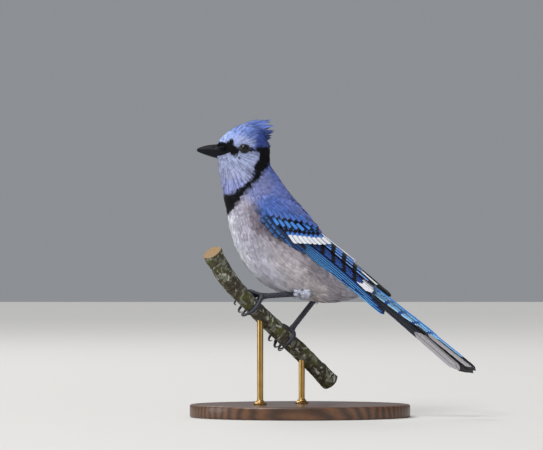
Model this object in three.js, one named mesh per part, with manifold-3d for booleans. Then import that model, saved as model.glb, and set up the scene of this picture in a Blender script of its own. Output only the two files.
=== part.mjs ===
// A life-size blue jay gripping a cut length of sloping branch, on a plain oval display base.
// Millimetres, +Z up. The bird faces -X with its left side towards -Y, and its middle plane is y = 0.
// The origin is the centre of the base's underside.
import * as THREE from "three";
import { mergeVertices } from "three/addons/utils/BufferGeometryUtils.js";
import Module from "manifold-3d";

const wasm = await Module();
wasm.setup();

// Driving dimensions
const GAP = 0.3; // between pieces that touch
const LEFT = -1; // the sign of y on each side of the bird
const RIGHT = 1;
const DEG = Math.PI / 180;

const BASE = { halfLength: 86, halfWidth: 55, thickness: 10, edge: 1.6, points: 22 };
const ROD = { radius: 2.4, collarRadius: 5.2, collarHeight: 2.6, sides: 12 };
const ROD_PLACES = { stand_rod_front: [-31, -8], stand_rod_rear: [1.5, 14] };

// The branch's centre line, from its upper cut end, and its radius at each point.
const PERCH_LINE = [
  [-67.9, -36.4, 128.7], [-64.7, -33, 122.5], [-56.2, -25, 108.4], [-46.5, -17.5, 96.7],
  [-34.3, -8.8, 83.9], [-22.1, 0, 71.8], [-6.2, 10.4, 56.6], [9, 21, 41.6], [24.2, 32, 25.7],
];
const PERCH_RADII = [7.4, 7.2, 6.9, 6.6, 6.3, 6.6, 6.4, 6.5, 6.9];
const PERCH = { sides: 12, rings: 18, lump: 0.35 };

// Trunk sections from the throat to the tail root: belly point, back point, half width.
const TRUNK = [
  { low: [-59, 204], high: [-31, 213], half: 9 },
  { low: [-64.6, 196], high: [-24.5, 203], half: 13 },
  { low: [-61.6, 184], high: [-18, 190], half: 15.2 },
  { low: [-59.8, 171.5], high: [-10, 177.5], half: 18.4 },
  { low: [-57.4, 159.5], high: [-1.5, 167], half: 21.8 },
  { low: [-55, 146], high: [7, 156.5], half: 24.2 },
  { low: [-51, 133], high: [15, 146], half: 25.2 },
  { low: [-44.2, 120.5], high: [22, 136], half: 25 },
  { low: [-34.5, 108.5], high: [29, 127], half: 23.8 },
  { low: [-20, 98.6], high: [37, 119], half: 21.2 },
  { low: [-1.5, 92.2], high: [43.5, 112.4], half: 17.8 },
  { low: [15.5, 89], high: [49, 107], half: 14.2 },
  { low: [29.5, 89.5], high: [53, 102.6], half: 10.6 },
  { low: [40, 92], high: [56, 99.4], half: 7 },
];
// Head sections from the bill's root to the back of the head.
const HEAD = [
  { low: [-66, 201.4], high: [-66, 212.2], half: 5.2 },
  { low: [-62.2, 197.4], high: [-62.2, 217.4], half: 8.4 },
  { low: [-55.6, 191.6], high: [-55.6, 223.4], half: 10.9 },
  { low: [-49.2, 187], high: [-49.2, 227.2], half: 12.4 },
  { low: [-43, 185], high: [-43, 229.4], half: 13.2 },
  { low: [-36.8, 184], high: [-36.8, 230], half: 13.6 },
  { low: [-30.6, 185], high: [-30, 227.6], half: 13 },
  { low: [-25.4, 188.5], high: [-24.8, 221.6], half: 11.2 },
  { low: [-22, 194], high: [-21.6, 213.6], half: 7.6 },
];
const TRUNK_MESH = { sides: 22, rings: 18 };
const HEAD_MESH = { sides: 20, rings: 12 };
const HEAD_CUT = { from: [-66, 194.2], to: [-21, 199.4] };
const NECK_CUT = { from: [-60, 166.2], to: [-4, 172.4] };

const EYE = { x: -43.4, z: 209.1, y: 10.3, radius: 4.2, lidRadius: 3.7, lidThickness: 0.75, lidDepth: 12.75 };
// Bill sections: x, height of the mouth line, and what stands above and below it.
const BILL = [
  { x: -80.4, mouth: 208.1, above: 0.5, below: 0.4, half: 0.5 },
  { x: -77.4, mouth: 207.9, above: 2.1, below: 1.9, half: 1.8 },
  { x: -72.4, mouth: 207.5, above: 4.3, below: 3.4, half: 3 },
  { x: -66.4, mouth: 207, above: 5.9, below: 4.7, half: 4.2 },
  { x: -59.5, mouth: 206.4, above: 6.9, below: 5.2, half: 5 },
];
const NOSTRIL = { x: -66.6, y: 3.7, z: 210.4, radius: 0.9 };

// The folded wing is laid out on its own plan: a runs from the shoulder along the wing, b towards the back.
const WING = {
  shoulder: [-35.1, 165.4],
  slope: { [LEFT]: 40 * DEG, [RIGHT]: 38.4 * DEG },
  widest: 2.4,
  lowerReach: 19,
  along: [-6, 8, 25, 45, 62, 78, 95, 113, 134],
  halfWidth: [21.5, 26.2, 27.8, 26.6, 23.8, 20.4, 16.6, 13.6, 11.6],
  upperReach: [24, 21, 23.1, 17.8, 15.4, 13.8, 12.2, 10.6, 9.6],
  lowerEdge: [-1.5, -6.6, -9.4, -6.9, -4.6, -2.9, -1.9, -1.5, -1.2],
  upperEdge: [4, 18.5, 23.6, 19.6, 17.6, 16, 14.4, 12.6, 2],
  depth: [5, 6.2, 6.6, 6.4, 6.3, 6.1, 5.6, 4.7, 4],
  stations: [-5, 2, 11, 22, 33, 45, 57, 70, 84, 99, 115, 133],
  rows: [0, 0.3, 0.58, 0.8, 0.93, 1],
  slopeReadTo: 0.93,
};
const POCKET = { rim: 1.9, lowerShare: 0.7, top: 14, deeperAtBack: 2 };
// The arm under the coverts, which holds the roots of every vane.
const ARM = { columns: 6, along: [-5, 8, 28, 42, 57], outer: [-0.9, -0.2, 0, -1, -3.4] };
// Stations from root to tip of long and short vanes, with the share of the full width and thickness at each.
const LONG_VANE = { stations: [0, 0.42, 0.85, 1], spread: [0.5, 0.96, 0.84, 0.3], thick: [1, 1, 0.9, 0.6] };
const SHORT_VANE = { stations: [0, 0.5, 0.86, 1], spread: [0.6, 1, 0.86, 0.36], thick: [1, 1, 0.9, 0.65] };
// Tiers of vanes on the wing. from and to hold the ends of the first and last vane of each, lower edge first.
const WING_TIERS = {
  primaries: {
    count: 7, from: [[46, -1.4], [48, 4.6]], to: [[114, -0.6], [116, 4.4]], bulge: 17,
    half: 2.7, heights: [-4, -1.9], thickness: 0.95,
  },
  secondaries: {
    count: 5, from: [[44, 6], [44, 12]], to: [[116, 6.4], [106, 10]], bulge: 0,
    half: 3.3, heights: [-4, -1.7], thickness: 0.95,
  },
  tertials: {
    count: 3, from: [[42, 12.6], [36, 15]], to: [[101, 10.6], [84, 12]], bulge: 0,
    half: 3.4, heights: [-3.6, -1.5], thickness: 0.95,
  },
  greaterCoverts: {
    count: 8, from: [[33, -1.6], [45, 16.2]], to: [[46, -2.2], [67.5, 14]], bulge: 0,
    half: 2.7, heights: [-2.4, -0.1], thickness: 0.6, form: SHORT_VANE,
  },
  primaryCoverts: {
    count: 3, from: [[32, -4.8], [33, -2]], to: [[53, -3.9], [58, -1.6]], bulge: 0,
    half: 1.9, heights: [-2.6, -1.1], thickness: 0.6, form: SHORT_VANE,
  },
  alula: {
    count: 2, from: [[26, -6.6], [25, -4.4]], to: [[45, -4.9], [39, -3.4]], bulge: 0,
    half: 1.9, heights: [-1.6, 0.2], thickness: 0.6, form: SHORT_VANE,
  },
  medianCoverts: {
    count: 6, from: [[19, 1.6], [37, 17.4]], to: [[33, 0.6], [53, 15.4]], bulge: 0,
    half: 2.9, heights: [-1, 0.9], thickness: 0.6, form: SHORT_VANE,
  },
};
const BULGE_SKEW = 0.63; // below 1 the longest vane of a bulging tier comes nearer its lower edge
const SHINGLE = 0.3; // how much a vane leans for each millimetre across, to lie over the next one down
const TAIL = { root: [48.3, 106.2], slope: 39.6 * DEG, roll: 17 * DEG, length: 113.4, sunk: 12 };
// Tail feathers in pairs from the middle outwards: how far each pair stops short of the middle one.
const TAIL_PAIRS = {
  short: [0, 0.9, 2.2, 4.2, 7.2, 11.4], rootAcross: [0.9, 2.1], tipAcross: [2.9, 9.8], half: 5.5,
  layer: 0.85, thickness: 0.55,
  form: { ...LONG_VANE, spread: [0.28, 0.72, 0.98, 0.42] },
};
// The tail's base under its coverts: distance along, half width, height above and below.
const TAIL_BASE = [
  { u: -12, half: 5.4, above: 3.6, below: 4 }, { u: -2, half: 6.1, above: 4.2, below: 4.8 },
  { u: 10, half: 6.2, above: 4, below: 5 }, { u: 22, half: 5.8, above: 3.4, below: 4.4 },
  { u: 33, half: 4, above: 2.2, below: 3 },
];

// Rows of crest feathers from the front: root and tip in the middle plane, and places across the head.
const CREST_ROWS = [
  { root: [-46, 225.6], tip: [-24.2, 233.8], across: [-3, 0, 3] },
  { root: [-41, 224.6], tip: [-20.6, 230.6], across: [-4.8, 0, 4.8] },
  { root: [-35, 222], tip: [-18.8, 226], across: [-2.6, 2.6] },
  { root: [-31, 218.6], tip: [-19.2, 220.8], across: [-4.6, 0, 4.6] },
  { root: [-29, 215.6], tip: [-20.8, 215.4], across: [-3, 3] },
];
const CREST = { half: 2.9, thickness: 1.5, crown: 0.05, stagger: 0.12, shortAside: 0.022, form: SHORT_VANE };
const SCALP = { centre: [-33.5, 0, 226], radii: [19, 11, 9.4], lean: 28 * DEG };

// Each leg: hip inside the body, heel, ankle on the branch, and where the foot sits along the branch.
const LEGS = {
  left: { hip: [16, -11, 106], heel: [1, -7.5, 96.5], ankle: [-29.6, -15, 94.6], perchAt: 0.365 },
  right: { hip: [22, 11, 108], heel: [13.8, 9.5, 94.4], ankle: [-7.2, 7.6, 67.6], perchAt: 0.612 },
};
const THIGH = { hipRadius: 10, middleRadius: 7.2, heelRadius: 3.2, middleAt: 0.55, sag: 1 };
const TARSUS = {
  radius: 1.5, scutes: 7, raise: 0.22, sunk: 2.5, acrossShare: 0.82, deepShare: 1.12,
  heelSwell: { by: 0.45, over: 1 / 7 }, ankleSwell: { by: 0.55, over: 1 / 6 },
};
const TOES = [
  { side: -1, drift: -6.5, reach: 128, radius: 1.55 },
  { side: -1, drift: -0.5, reach: 154, radius: 1.65 },
  { side: -1, drift: 5.5, reach: 132, radius: 1.5 },
  { side: 1, drift: 1.5, reach: 116, radius: 1.85 },
];
// Along a toe: the share of its length after which it has come down to the bark and drifted to its own
// track, its taper, and the swelling of its joints.
const TOE = { steps: 6, settled: 1 / 3.2, drifted: 1 / 2.2, taper: 0.22, joints: [0.97, 1.06] };
const PAD_RADIUS = 2.5;
const CLAW = { back: 6, reach: 62, radius: 1.2, shares: [1, 0.8, 0.45], tip: 0.22, arch: 1 };

// Smooth interpolation through evenly spaced values.
function through(values, t) {
  const last = values.length - 1;
  const at = Math.min(Math.max(t, 0), 1) * last;
  const i = Math.min(Math.floor(at), last - 1);
  const f = at - i;
  const p0 = values[Math.max(i - 1, 0)];
  const p1 = values[i];
  const p2 = values[i + 1];
  const p3 = values[Math.min(i + 2, last)];
  const bend = (2 * p0 - 5 * p1 + 4 * p2 - p3) * f * f + (3 * p1 - p0 - 3 * p2 + p3) * f * f * f;
  return 0.5 * (2 * p1 + (p2 - p0) * f + bend);
}

// Linear interpolation of values given at rising stations.
function stepped(stations, values, x) {
  if (x <= stations[0]) return values[0];
  for (let i = 1; i < stations.length; i++) {
    if (x <= stations[i]) {
      const f = (x - stations[i - 1]) / (stations[i] - stations[i - 1]);
      return values[i - 1] + f * (values[i] - values[i - 1]);
    }
  }
  return values[values.length - 1];
}

const vector = (xyz) => new THREE.Vector3(...xyz);

// The point at an angle round a circle about centre, measured from u towards v.
function around(centre, u, v, radius, angle) {
  const arm = u.clone().multiplyScalar(Math.cos(angle)).addScaledVector(v, Math.sin(angle));
  return centre.clone().addScaledVector(arm, radius);
}

// A closed solid from shared vertices and triangles, turned to face out.
function solidOf(positions, indices) {
  const geometry = new THREE.BufferGeometry();
  geometry.setAttribute("position", new THREE.Float32BufferAttribute(positions, 3));
  geometry.setIndex(indices);
  return solidFrom(geometry);
}

function solidFrom(geometry) {
  geometry.deleteAttribute("normal");
  geometry.deleteAttribute("uv");
  const merged = mergeVertices(geometry, 1e-4);
  const vertProperties = new Float32Array(merged.attributes.position.array);
  const triVerts = new Uint32Array(merged.index.array);
  const made = new wasm.Manifold(new wasm.Mesh({ numProp: 3, vertProperties, triVerts }));
  if (made.volume() > 0) return made;
  for (let i = 0; i < triVerts.length; i += 3) {
    [triVerts[i + 1], triVerts[i + 2]] = [triVerts[i + 2], triVerts[i + 1]];
  }
  return new wasm.Manifold(new wasm.Mesh({ numProp: 3, vertProperties, triVerts }));
}

const join = (solids) => solids.reduce((all, next) => all.add(next));
const largest = (solid) => solid.decompose().sort((a, b) => b.volume() - a.volume())[0];

// A tube with flat ends, bent from a cylinder: place(t, angle) is a point of its skin, middle(t) of its axis.
function loft(sides, rings, place, middle) {
  const tube = new THREE.CylinderGeometry(1, 1, 1, sides, rings);
  const spots = tube.attributes.position;
  for (let i = 0; i < spots.count; i++) {
    const t = 0.5 - spots.getY(i);
    const across = Math.hypot(spots.getX(i), spots.getZ(i));
    const angle = Math.atan2(spots.getX(i), spots.getZ(i));
    const p = across < 0.5 ? middle(t) : place(t, angle);
    spots.setXYZ(i, p.x, p.y, p.z);
  }
  return solidFrom(tube);
}

// A body section: an oval between a low and a high point in the middle plane.
function sectionAt(sections, t) {
  const pick = (read) => through(sections.map(read), t);
  const low = new THREE.Vector3(pick((s) => s.low[0]), 0, pick((s) => s.low[1]));
  const high = new THREE.Vector3(pick((s) => s.high[0]), 0, pick((s) => s.high[1]));
  const centre = low.clone().add(high).multiplyScalar(0.5);
  return { centre, up: high.sub(centre), half: pick((s) => s.half) };
}

function bodyLoft(sections, sides, rings, grow = 0) {
  const place = (t, angle) => {
    const { centre, up, half } = sectionAt(sections, t);
    const p = centre.clone().addScaledVector(up, (1 + grow / up.length()) * Math.cos(angle));
    p.y = (half + grow) * Math.sin(angle);
    return p;
  };
  return loft(sides, rings, place, (t) => sectionAt(sections, t).centre);
}

// A slab as thick as the gap, square to the middle plane, through two points.
function cutSlab({ from, to }) {
  const run = new THREE.Vector2(to[0] - from[0], to[1] - from[1]);
  const slab = new THREE.BoxGeometry(run.length() + 60, 90, GAP);
  slab.rotateY(-run.angle());
  slab.translate((from[0] + to[0]) / 2, 0, (from[1] + to[1]) / 2);
  return solidFrom(slab);
}

function ball(x, y, z, radius, sides = 12, rings = 8) {
  const sphere = new THREE.SphereGeometry(radius, sides, rings);
  sphere.translate(x, y, z);
  return solidFrom(sphere);
}

// A closed plate over a grid: place(i, j, face) with face 1 outside and 0 inside, split alike on both faces.
function plate(columns, rows, place) {
  const positions = [];
  const indices = [];
  const id = (i, j, face) => (i * (rows + 1) + j) * 2 + face;
  for (let i = 0; i <= columns; i++) {
    for (let j = 0; j <= rows; j++) {
      for (const face of [0, 1]) positions.push(...place(i / columns, j / rows, face).toArray());
    }
  }
  const quad = (a, b, c, d) => indices.push(a, b, c, a, c, d);
  for (let i = 0; i < columns; i++) {
    for (let j = 0; j < rows; j++) {
      quad(id(i, j, 1), id(i + 1, j, 1), id(i + 1, j + 1, 1), id(i, j + 1, 1));
      indices.push(id(i, j, 0), id(i + 1, j + 1, 0), id(i + 1, j, 0));
      indices.push(id(i, j, 0), id(i, j + 1, 0), id(i + 1, j + 1, 0));
    }
    quad(id(i, 0, 0), id(i + 1, 0, 0), id(i + 1, 0, 1), id(i, 0, 1));
    quad(id(i, rows, 1), id(i + 1, rows, 1), id(i + 1, rows, 0), id(i, rows, 0));
  }
  for (let j = 0; j < rows; j++) {
    quad(id(0, j, 1), id(0, j + 1, 1), id(0, j + 1, 0), id(0, j, 0));
    quad(id(columns, j, 0), id(columns, j + 1, 0), id(columns, j + 1, 1), id(columns, j, 1));
  }
  return solidOf(positions, indices);
}

// The wing's skin at plan place (a, b), with height measured outwards from it.
function wingSkin(side, a, b) {
  const reach = b > WING.widest ? stepped(WING.along, WING.upperReach, a) : WING.lowerReach;
  const off = Math.min(Math.abs(b - WING.widest) / reach, 0.995);
  const y = stepped(WING.along, WING.halfWidth, a) * Math.sqrt(1 - off * off);
  const slope = WING.slope[side];
  const x = WING.shoulder[0] + a * Math.cos(slope) + b * Math.sin(slope);
  const z = WING.shoulder[1] - a * Math.sin(slope) + b * Math.cos(slope);
  return new THREE.Vector3(x, side * y, z);
}

// Near the back line the skin turns over, so its slope is read just short of there.
function wingPlace(side, a, b, height) {
  const step = 0.6;
  const level = Math.min(b, WING.widest + stepped(WING.along, WING.upperReach, a) * WING.slopeReadTo - step);
  const along = wingSkin(side, a + step, level).sub(wingSkin(side, a - step, level));
  const across = wingSkin(side, a, level + step).sub(wingSkin(side, a, level - step));
  const normal = along.cross(across).normalize();
  if (normal.y * side < 0) normal.negate();
  return wingSkin(side, a, b).addScaledVector(normal, height);
}

// A place on the wing's plan grid, widened at its outer rim, and less so along its lower edge.
function wingGrid(i, j, rim = 0) {
  const ends = (k, list) => (k === list.length - 1 ? 1 : 0) - (k === 0 ? POCKET.lowerShare : 0);
  const a = WING.stations[i] + rim * ends(i, WING.stations);
  const lower = stepped(WING.along, WING.lowerEdge, a);
  const upper = stepped(WING.along, WING.upperEdge, a);
  return { a, b: lower + (upper - lower) * WING.rows[j] + rim * ends(j, WING.rows) };
}

// A plate over the wing's plan up to a number of columns, with a height for each face.
function wingPlate(side, columns, rim, heightAt) {
  const rows = WING.rows.length - 1;
  return plate(columns, rows, (i, j, face) => {
    const { a, b } = wingGrid(Math.round(i * columns), Math.round(j * rows), rim);
    return wingPlace(side, a, b, heightAt(a, face, j));
  });
}

// What the body leaves free for a folded wing.
function wingPocket(side) {
  const columns = WING.stations.length - 1;
  const floor = (a, j) => -stepped(WING.along, WING.depth, a) - GAP - (j === 1 ? POCKET.deeperAtBack : 0);
  return wingPlate(side, columns, POCKET.rim, (a, face, j) => (face ? POCKET.top : floor(a, j)));
}

function arm(side) {
  const outer = (a) => stepped(ARM.along, ARM.outer, a);
  const inner = (a) => -stepped(WING.along, WING.depth, a);
  return wingPlate(side, ARM.columns, 0, (a, face) => (face ? outer(a) : inner(a)));
}

// A thin tapering plate from root to tip in plan. Its far edge lies deeper than its near one by lean.
function vane({ from, to, half, heights, thickness, lean = 0, form = LONG_VANE }, toSpace) {
  const run = [to[0] - from[0], to[1] - from[1]];
  const length = Math.hypot(...run);
  const last = form.stations.length - 1;
  return plate(last, 2, (i, j, face) => {
    const station = Math.round(i * last);
    const s = form.stations[station];
    const across = half * form.spread[station] * (2 * j - 1);
    const along = from[0] + run[0] * s - (run[1] / length) * across;
    const sideways = from[1] + run[1] * s + (run[0] / length) * across;
    const middle = heights[0] + (heights[1] - heights[0]) * s - lean * across;
    return toSpace(along, sideways, middle - (face ? 0 : thickness * form.thick[station]));
  });
}

const mix = (p, q, t) => p.map((value, i) => value + (q[i] - value) * t);

function wing(side) {
  const vanes = Object.values(WING_TIERS).flatMap(({ count, from, to, bulge, ...kind }) =>
    Array.from({ length: count }, (_, i) => {
      const t = i / (count - 1);
      const tip = mix(to[0], to[1], t);
      tip[0] += bulge * Math.sin(Math.PI * t ** BULGE_SKEW);
      const settings = { ...kind, from: mix(from[0], from[1], t), to: tip, lean: SHINGLE };
      return vane(settings, (a, b, height) => wingPlace(side, a, b, height));
    }));
  return join([arm(side), ...vanes]);
}

// A place on the tail: u along it, v across it towards the bird's right, w upwards.
function tailPlace(u, v, w) {
  const across = v * Math.cos(TAIL.roll) + w * Math.sin(TAIL.roll);
  const up = w * Math.cos(TAIL.roll) - v * Math.sin(TAIL.roll);
  const x = TAIL.root[0] + u * Math.cos(TAIL.slope) + up * Math.sin(TAIL.slope);
  const z = TAIL.root[1] - u * Math.sin(TAIL.slope) + up * Math.cos(TAIL.slope);
  return new THREE.Vector3(x, across, z);
}

function tailBase(grow = 0) {
  const pick = (t, read) => through(TAIL_BASE.map(read), t);
  const along = (t) => pick(t, (s) => s.u) - (t < 0.001 ? grow : 0);
  return loft(14, 8, (t, angle) => {
    const up = Math.cos(angle);
    const height = (pick(t, (s) => (up > 0 ? s.above : s.below)) + grow) * up;
    return tailPlace(along(t), (pick(t, (s) => s.half) + grow) * Math.sin(angle), height);
  }, (t) => tailPlace(along(t), 0, 0));
}

// Twelve feathers in six pairs, the middle pair on top.
function tail() {
  const { short, rootAcross, tipAcross, half, form, layer, thickness } = TAIL_PAIRS;
  const last = short.length - 1;
  const vanes = short.flatMap((less, pair) => [LEFT, RIGHT].map((side) => {
    const from = [-TAIL.sunk + 4, side * (rootAcross[0] + (rootAcross[1] - rootAcross[0]) * (pair / last))];
    const to = [TAIL.length - less, side * (tipAcross[0] + (tipAcross[1] - tipAcross[0]) * (pair / last))];
    const height = layer * (last / 2 - pair + (side === LEFT ? 0.5 : -0.5));
    const settings = { from, to, half, heights: [height * 0.75, height], thickness, form };
    return vane(settings, tailPlace);
  }));
  return join([tailBase(), ...vanes]);
}

function scalp(grow = 0) {
  const shape = new THREE.SphereGeometry(1, 16, 10);
  shape.scale(...SCALP.radii.map((r) => r + grow));
  shape.rotateY(SCALP.lean);
  shape.translate(...SCALP.centre);
  return solidFrom(shape);
}

// The scalp with its crest feathers, row behind row.
function crest(head) {
  const vanes = CREST_ROWS.flatMap(({ root, tip, across }) => across.map((y, i) => {
    const run = new THREE.Vector2(tip[0] - root[0], tip[1] - root[1]);
    const length = run.length();
    const share = 1 - Math.abs(y) * CREST.shortAside - (i % 2) * CREST.stagger;
    return vane({
      ...CREST, from: [0, y * 0.85], to: [length * share, y], heights: [-0.6, 0],
    }, (p, q, height) => {
      const x = root[0] + (run.x * p - run.y * height) / length;
      const z = root[1] + (run.y * p + run.x * height) / length - CREST.crown * q * q;
      return new THREE.Vector3(x, q, z);
    });
  }));
  const beside = bodyLoft(HEAD, HEAD_MESH.sides, HEAD_MESH.rings, GAP).subtract(scalp());
  return head.intersect(scalp()).add(join(vanes).subtract(beside));
}

// One half of the bill, above or below the mouth line, grown by a clearance.
function bill(upper, grow = 0) {
  const pick = (t, read) => through(BILL.map(read), t);
  const spine = (t) => {
    const x = pick(t, (s) => s.x) + (t > 0.999 ? grow : 0);
    const offset = upper ? 0 : -GAP;
    return new THREE.Vector3(x, 0, pick(t, (s) => s.mouth) + offset);
  };
  return loft(12, 8, (t, angle) => {
    const p = spine(t);
    const rise = Math.cos(angle);
    const far = pick(t, (s) => (upper ? s.above : s.below)) + grow;
    const outwards = upper ? rise > 0 : rise < 0;
    p.z += outwards ? rise * far : rise * (0.01 + grow);
    p.y = (pick(t, (s) => s.half) + grow) * Math.sin(angle);
    return p;
  }, spine);
}

// The frame of the branch at a share t of its length.
const perchCurve = new THREE.CatmullRomCurve3(PERCH_LINE.map(vector));
function perchFrame(t) {
  const centre = perchCurve.getPoint(t);
  const along = perchCurve.getTangent(t);
  const up = new THREE.Vector3(0, 0, 1).addScaledVector(along, -along.z).normalize();
  return { centre, along, up, side: along.clone().cross(up) };
}

function perch(grow = 0) {
  return loft(PERCH.sides, PERCH.rings, (t, angle) => {
    const { centre, up, side } = perchFrame(t);
    const lump = PERCH.lump * Math.sin(3 * angle + 9 * t) * Math.sin(17 * t + angle);
    return around(centre, up, side, through(PERCH_RADII, t) + lump + grow, angle);
  }, (t) => perchFrame(t).centre);
}

// A round tube through points, with a radius at each.
function tube(points, radii, sides, rings) {
  const curve = new THREE.CatmullRomCurve3(points);
  const frame = (t) => {
    const centre = curve.getPoint(t);
    const along = curve.getTangent(t);
    const lead = Math.abs(along.y) < 0.9 ? new THREE.Vector3(0, 1, 0) : new THREE.Vector3(1, 0, 0);
    const u = lead.addScaledVector(along, -lead.dot(along)).normalize();
    return { centre, u, v: along.clone().cross(u) };
  };
  return loft(sides, rings, (t, angle) => {
    const { centre, u, v } = frame(t);
    return around(centre, u, v, through(radii, t), angle);
  }, (t) => frame(t).centre);
}

function thigh({ hip, heel }, grow = 0) {
  const from = vector(hip);
  const to = vector(heel);
  const middle = from.clone().lerp(to, THIGH.middleAt).add(new THREE.Vector3(0, 0, -THIGH.sag));
  const radii = [THIGH.hipRadius, THIGH.middleRadius, THIGH.heelRadius].map((r) => r + grow);
  const end = to.clone().addScaledVector(to.clone().sub(from).normalize(), grow);
  return tube([from, middle, end], radii, 12, 6);
}

function tarsus({ heel, ankle }, grow = 0) {
  const from = vector(heel);
  const to = vector(ankle);
  const along = to.clone().sub(from).normalize();
  const start = from.clone().addScaledVector(along, -TARSUS.sunk - grow);
  const { heelSwell, ankleSwell } = TARSUS;
  const rings = TARSUS.scutes * 2;
  const curve = new THREE.LineCurve3(start, to.clone().addScaledVector(along, grow));
  const side = new THREE.Vector3(0, 1, 0).addScaledVector(along, -along.y).normalize();
  const front = side.clone().cross(along);
  return loft(8, rings, (t, angle) => {
    const scute = Math.round(t * rings) % 2 ? TARSUS.raise : 0;
    const ends = heelSwell.by * Math.max(0, 1 - t / heelSwell.over)
      + ankleSwell.by * Math.max(0, 1 - (1 - t) / ankleSwell.over);
    const radius = TARSUS.radius + scute + ends + grow;
    const p = curve.getPoint(t).addScaledVector(side, radius * TARSUS.acrossShare * Math.cos(angle));
    return p.addScaledVector(front, radius * TARSUS.deepShare * Math.sin(angle));
  }, (t) => curve.getPoint(t));
}

// Toes wrap the branch from the ankle: three over its far side and one over its near side.
function foot({ ankle, perchAt }) {
  const { centre, along } = perchFrame(perchAt);
  const arm = vector(ankle).sub(centre);
  const rise = arm.clone().addScaledVector(along, -arm.dot(along));
  const up = rise.clone().normalize();
  const side = along.clone().cross(up);
  const bark = through(PERCH_RADII, perchAt) + PERCH.lump + GAP;
  const stand = rise.length();
  const at = (degrees, radius, drift) => centre.clone()
    .addScaledVector(up, radius * Math.cos(degrees * DEG))
    .addScaledVector(side, radius * Math.sin(degrees * DEG))
    .addScaledVector(along, drift + arm.dot(along));
  const pieces = TOES.map((toe) => {
    const points = [];
    const radii = [];
    for (let i = 0; i <= TOE.steps; i++) {
      const t = i / TOE.steps;
      const settle = Math.min(t / TOE.settled, 1);
      const radius = stand + (bark + toe.radius - stand) * settle;
      points.push(at(toe.side * toe.reach * t, radius, toe.drift * Math.min(t / TOE.drifted, 1)));
      radii.push(toe.radius * (1 - TOE.taper * t) * TOE.joints[i % 2]);
    }
    const clawPoints = [];
    for (let i = 0; i <= 4; i++) {
      const t = i / 4;
      const degrees = toe.side * (toe.reach - CLAW.back + CLAW.reach * t);
      clawPoints.push(at(degrees, bark + CLAW.radius + CLAW.arch * Math.sin(Math.PI * t), toe.drift));
    }
    const clawRadii = [...CLAW.shares.map((share) => CLAW.radius * share), CLAW.tip];
    return tube(points, radii, 6, TOE.steps).add(tube(clawPoints, clawRadii, 5, 4));
  });
  const pad = at(0, stand, 0);
  return join([...pieces, ball(pad.x, pad.y, pad.z, PAD_RADIUS, 8, 5)]);
}

function base() {
  const { halfLength, halfWidth, thickness, edge, points } = BASE;
  const outline = new THREE.Shape();
  outline.absellipse(0, 0, halfLength - edge, halfWidth - edge, 0, 2 * Math.PI);
  const settings = {
    depth: thickness - 2 * edge, curveSegments: points, steps: 1,
    bevelEnabled: true, bevelThickness: edge, bevelSize: edge, bevelSegments: 2,
  };
  const solid = new THREE.ExtrudeGeometry(outline, settings);
  solid.translate(0, 0, edge);
  return solidFrom(solid);
}

// A rod with a turned collar, cut to the underside of the branch.
function rod(x, y, top) {
  const { radius, collarRadius, collarHeight, sides } = ROD;
  const bottom = BASE.thickness + GAP;
  const profile = [
    [0, bottom], [collarRadius, bottom], [collarRadius, bottom + collarHeight * 0.6],
    [radius + 0.8, bottom + collarHeight], [radius, bottom + collarHeight + 0.8], [radius, top], [0, top],
  ];
  const turned = new THREE.LatheGeometry(profile.map((p) => new THREE.Vector2(...p)), sides);
  turned.rotateX(Math.PI / 2);
  turned.translate(x, y, 0);
  return solidFrom(turned);
}

function perchHeightAbove(x, y) {
  let nearest = perchCurve.getPoint(0);
  for (let i = 0; i <= 200; i++) {
    const p = perchCurve.getPoint(i / 200);
    if (Math.hypot(p.x - x, p.y - y) < Math.hypot(nearest.x - x, nearest.y - y)) nearest = p;
  }
  return nearest.z;
}

const finishes = {
  blue: { color: 0x5a72b8, roughness: 0.8 },
  grey: { color: 0xa9a4ae, roughness: 0.85 },
  black: { color: 0x1a1c22, roughness: 0.5 },
  skin: { color: 0x2c2e36, roughness: 0.6 },
  bark: { color: 0x6b6455, roughness: 0.9 },
  wood: { color: 0x4a3323, roughness: 0.5 },
  brass: { color: 0xb08d4c, roughness: 0.35, metalness: 1 },
};

const jay = new THREE.Group();

function addNode(name, solid, finish) {
  const body = largest(solid);
  const mesh = body.getMesh();
  const geometry = new THREE.BufferGeometry();
  geometry.setAttribute("position", new THREE.BufferAttribute(mesh.vertProperties, 3));
  geometry.setIndex(new THREE.BufferAttribute(mesh.triVerts, 1));
  const node = new THREE.Mesh(geometry, new THREE.MeshStandardMaterial(finishes[finish]));
  node.name = name;
  jay.add(node);
}

// The bird's trunk, neck and head are one form, parted by two thin cuts.
const headWhole = bodyLoft(HEAD, HEAD_MESH.sides, HEAD_MESH.rings);
const trunkWhole = bodyLoft(TRUNK, TRUNK_MESH.sides, TRUNK_MESH.rings);
const lids = [LEFT, RIGHT].map((side) => {
  const ring = new THREE.TorusGeometry(EYE.lidRadius, EYE.lidThickness, 5, 14);
  ring.rotateX(Math.PI / 2);
  ring.translate(EYE.x, side * EYE.lidDepth, EYE.z);
  return solidFrom(ring);
});
const sockets = [LEFT, RIGHT].map((side) => ball(EYE.x, side * EYE.y, EYE.z, EYE.radius + GAP, 14, 9));
const billSpace = bill(true, GAP).add(bill(false, GAP));
const pockets = [LEFT, RIGHT].map(wingPocket);
const legs = Object.entries(LEGS);
const form = join([trunkWhole, headWhole, ...lids])
  .subtract(join([...sockets, billSpace, ...pockets]))
  .subtract(cutSlab(HEAD_CUT))
  .subtract(cutSlab(NECK_CUT));
const [headPart, neckPart, trunkPart] = form.decompose()
  .sort((p, q) => q.volume() - p.volume()).slice(0, 3)
  .sort((p, q) => q.boundingBox().max[2] - p.boundingBox().max[2]);

let torso = trunkPart;
for (const [, leg] of legs) torso = torso.subtract(thigh(leg, GAP)).subtract(tarsus(leg, GAP));

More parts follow.
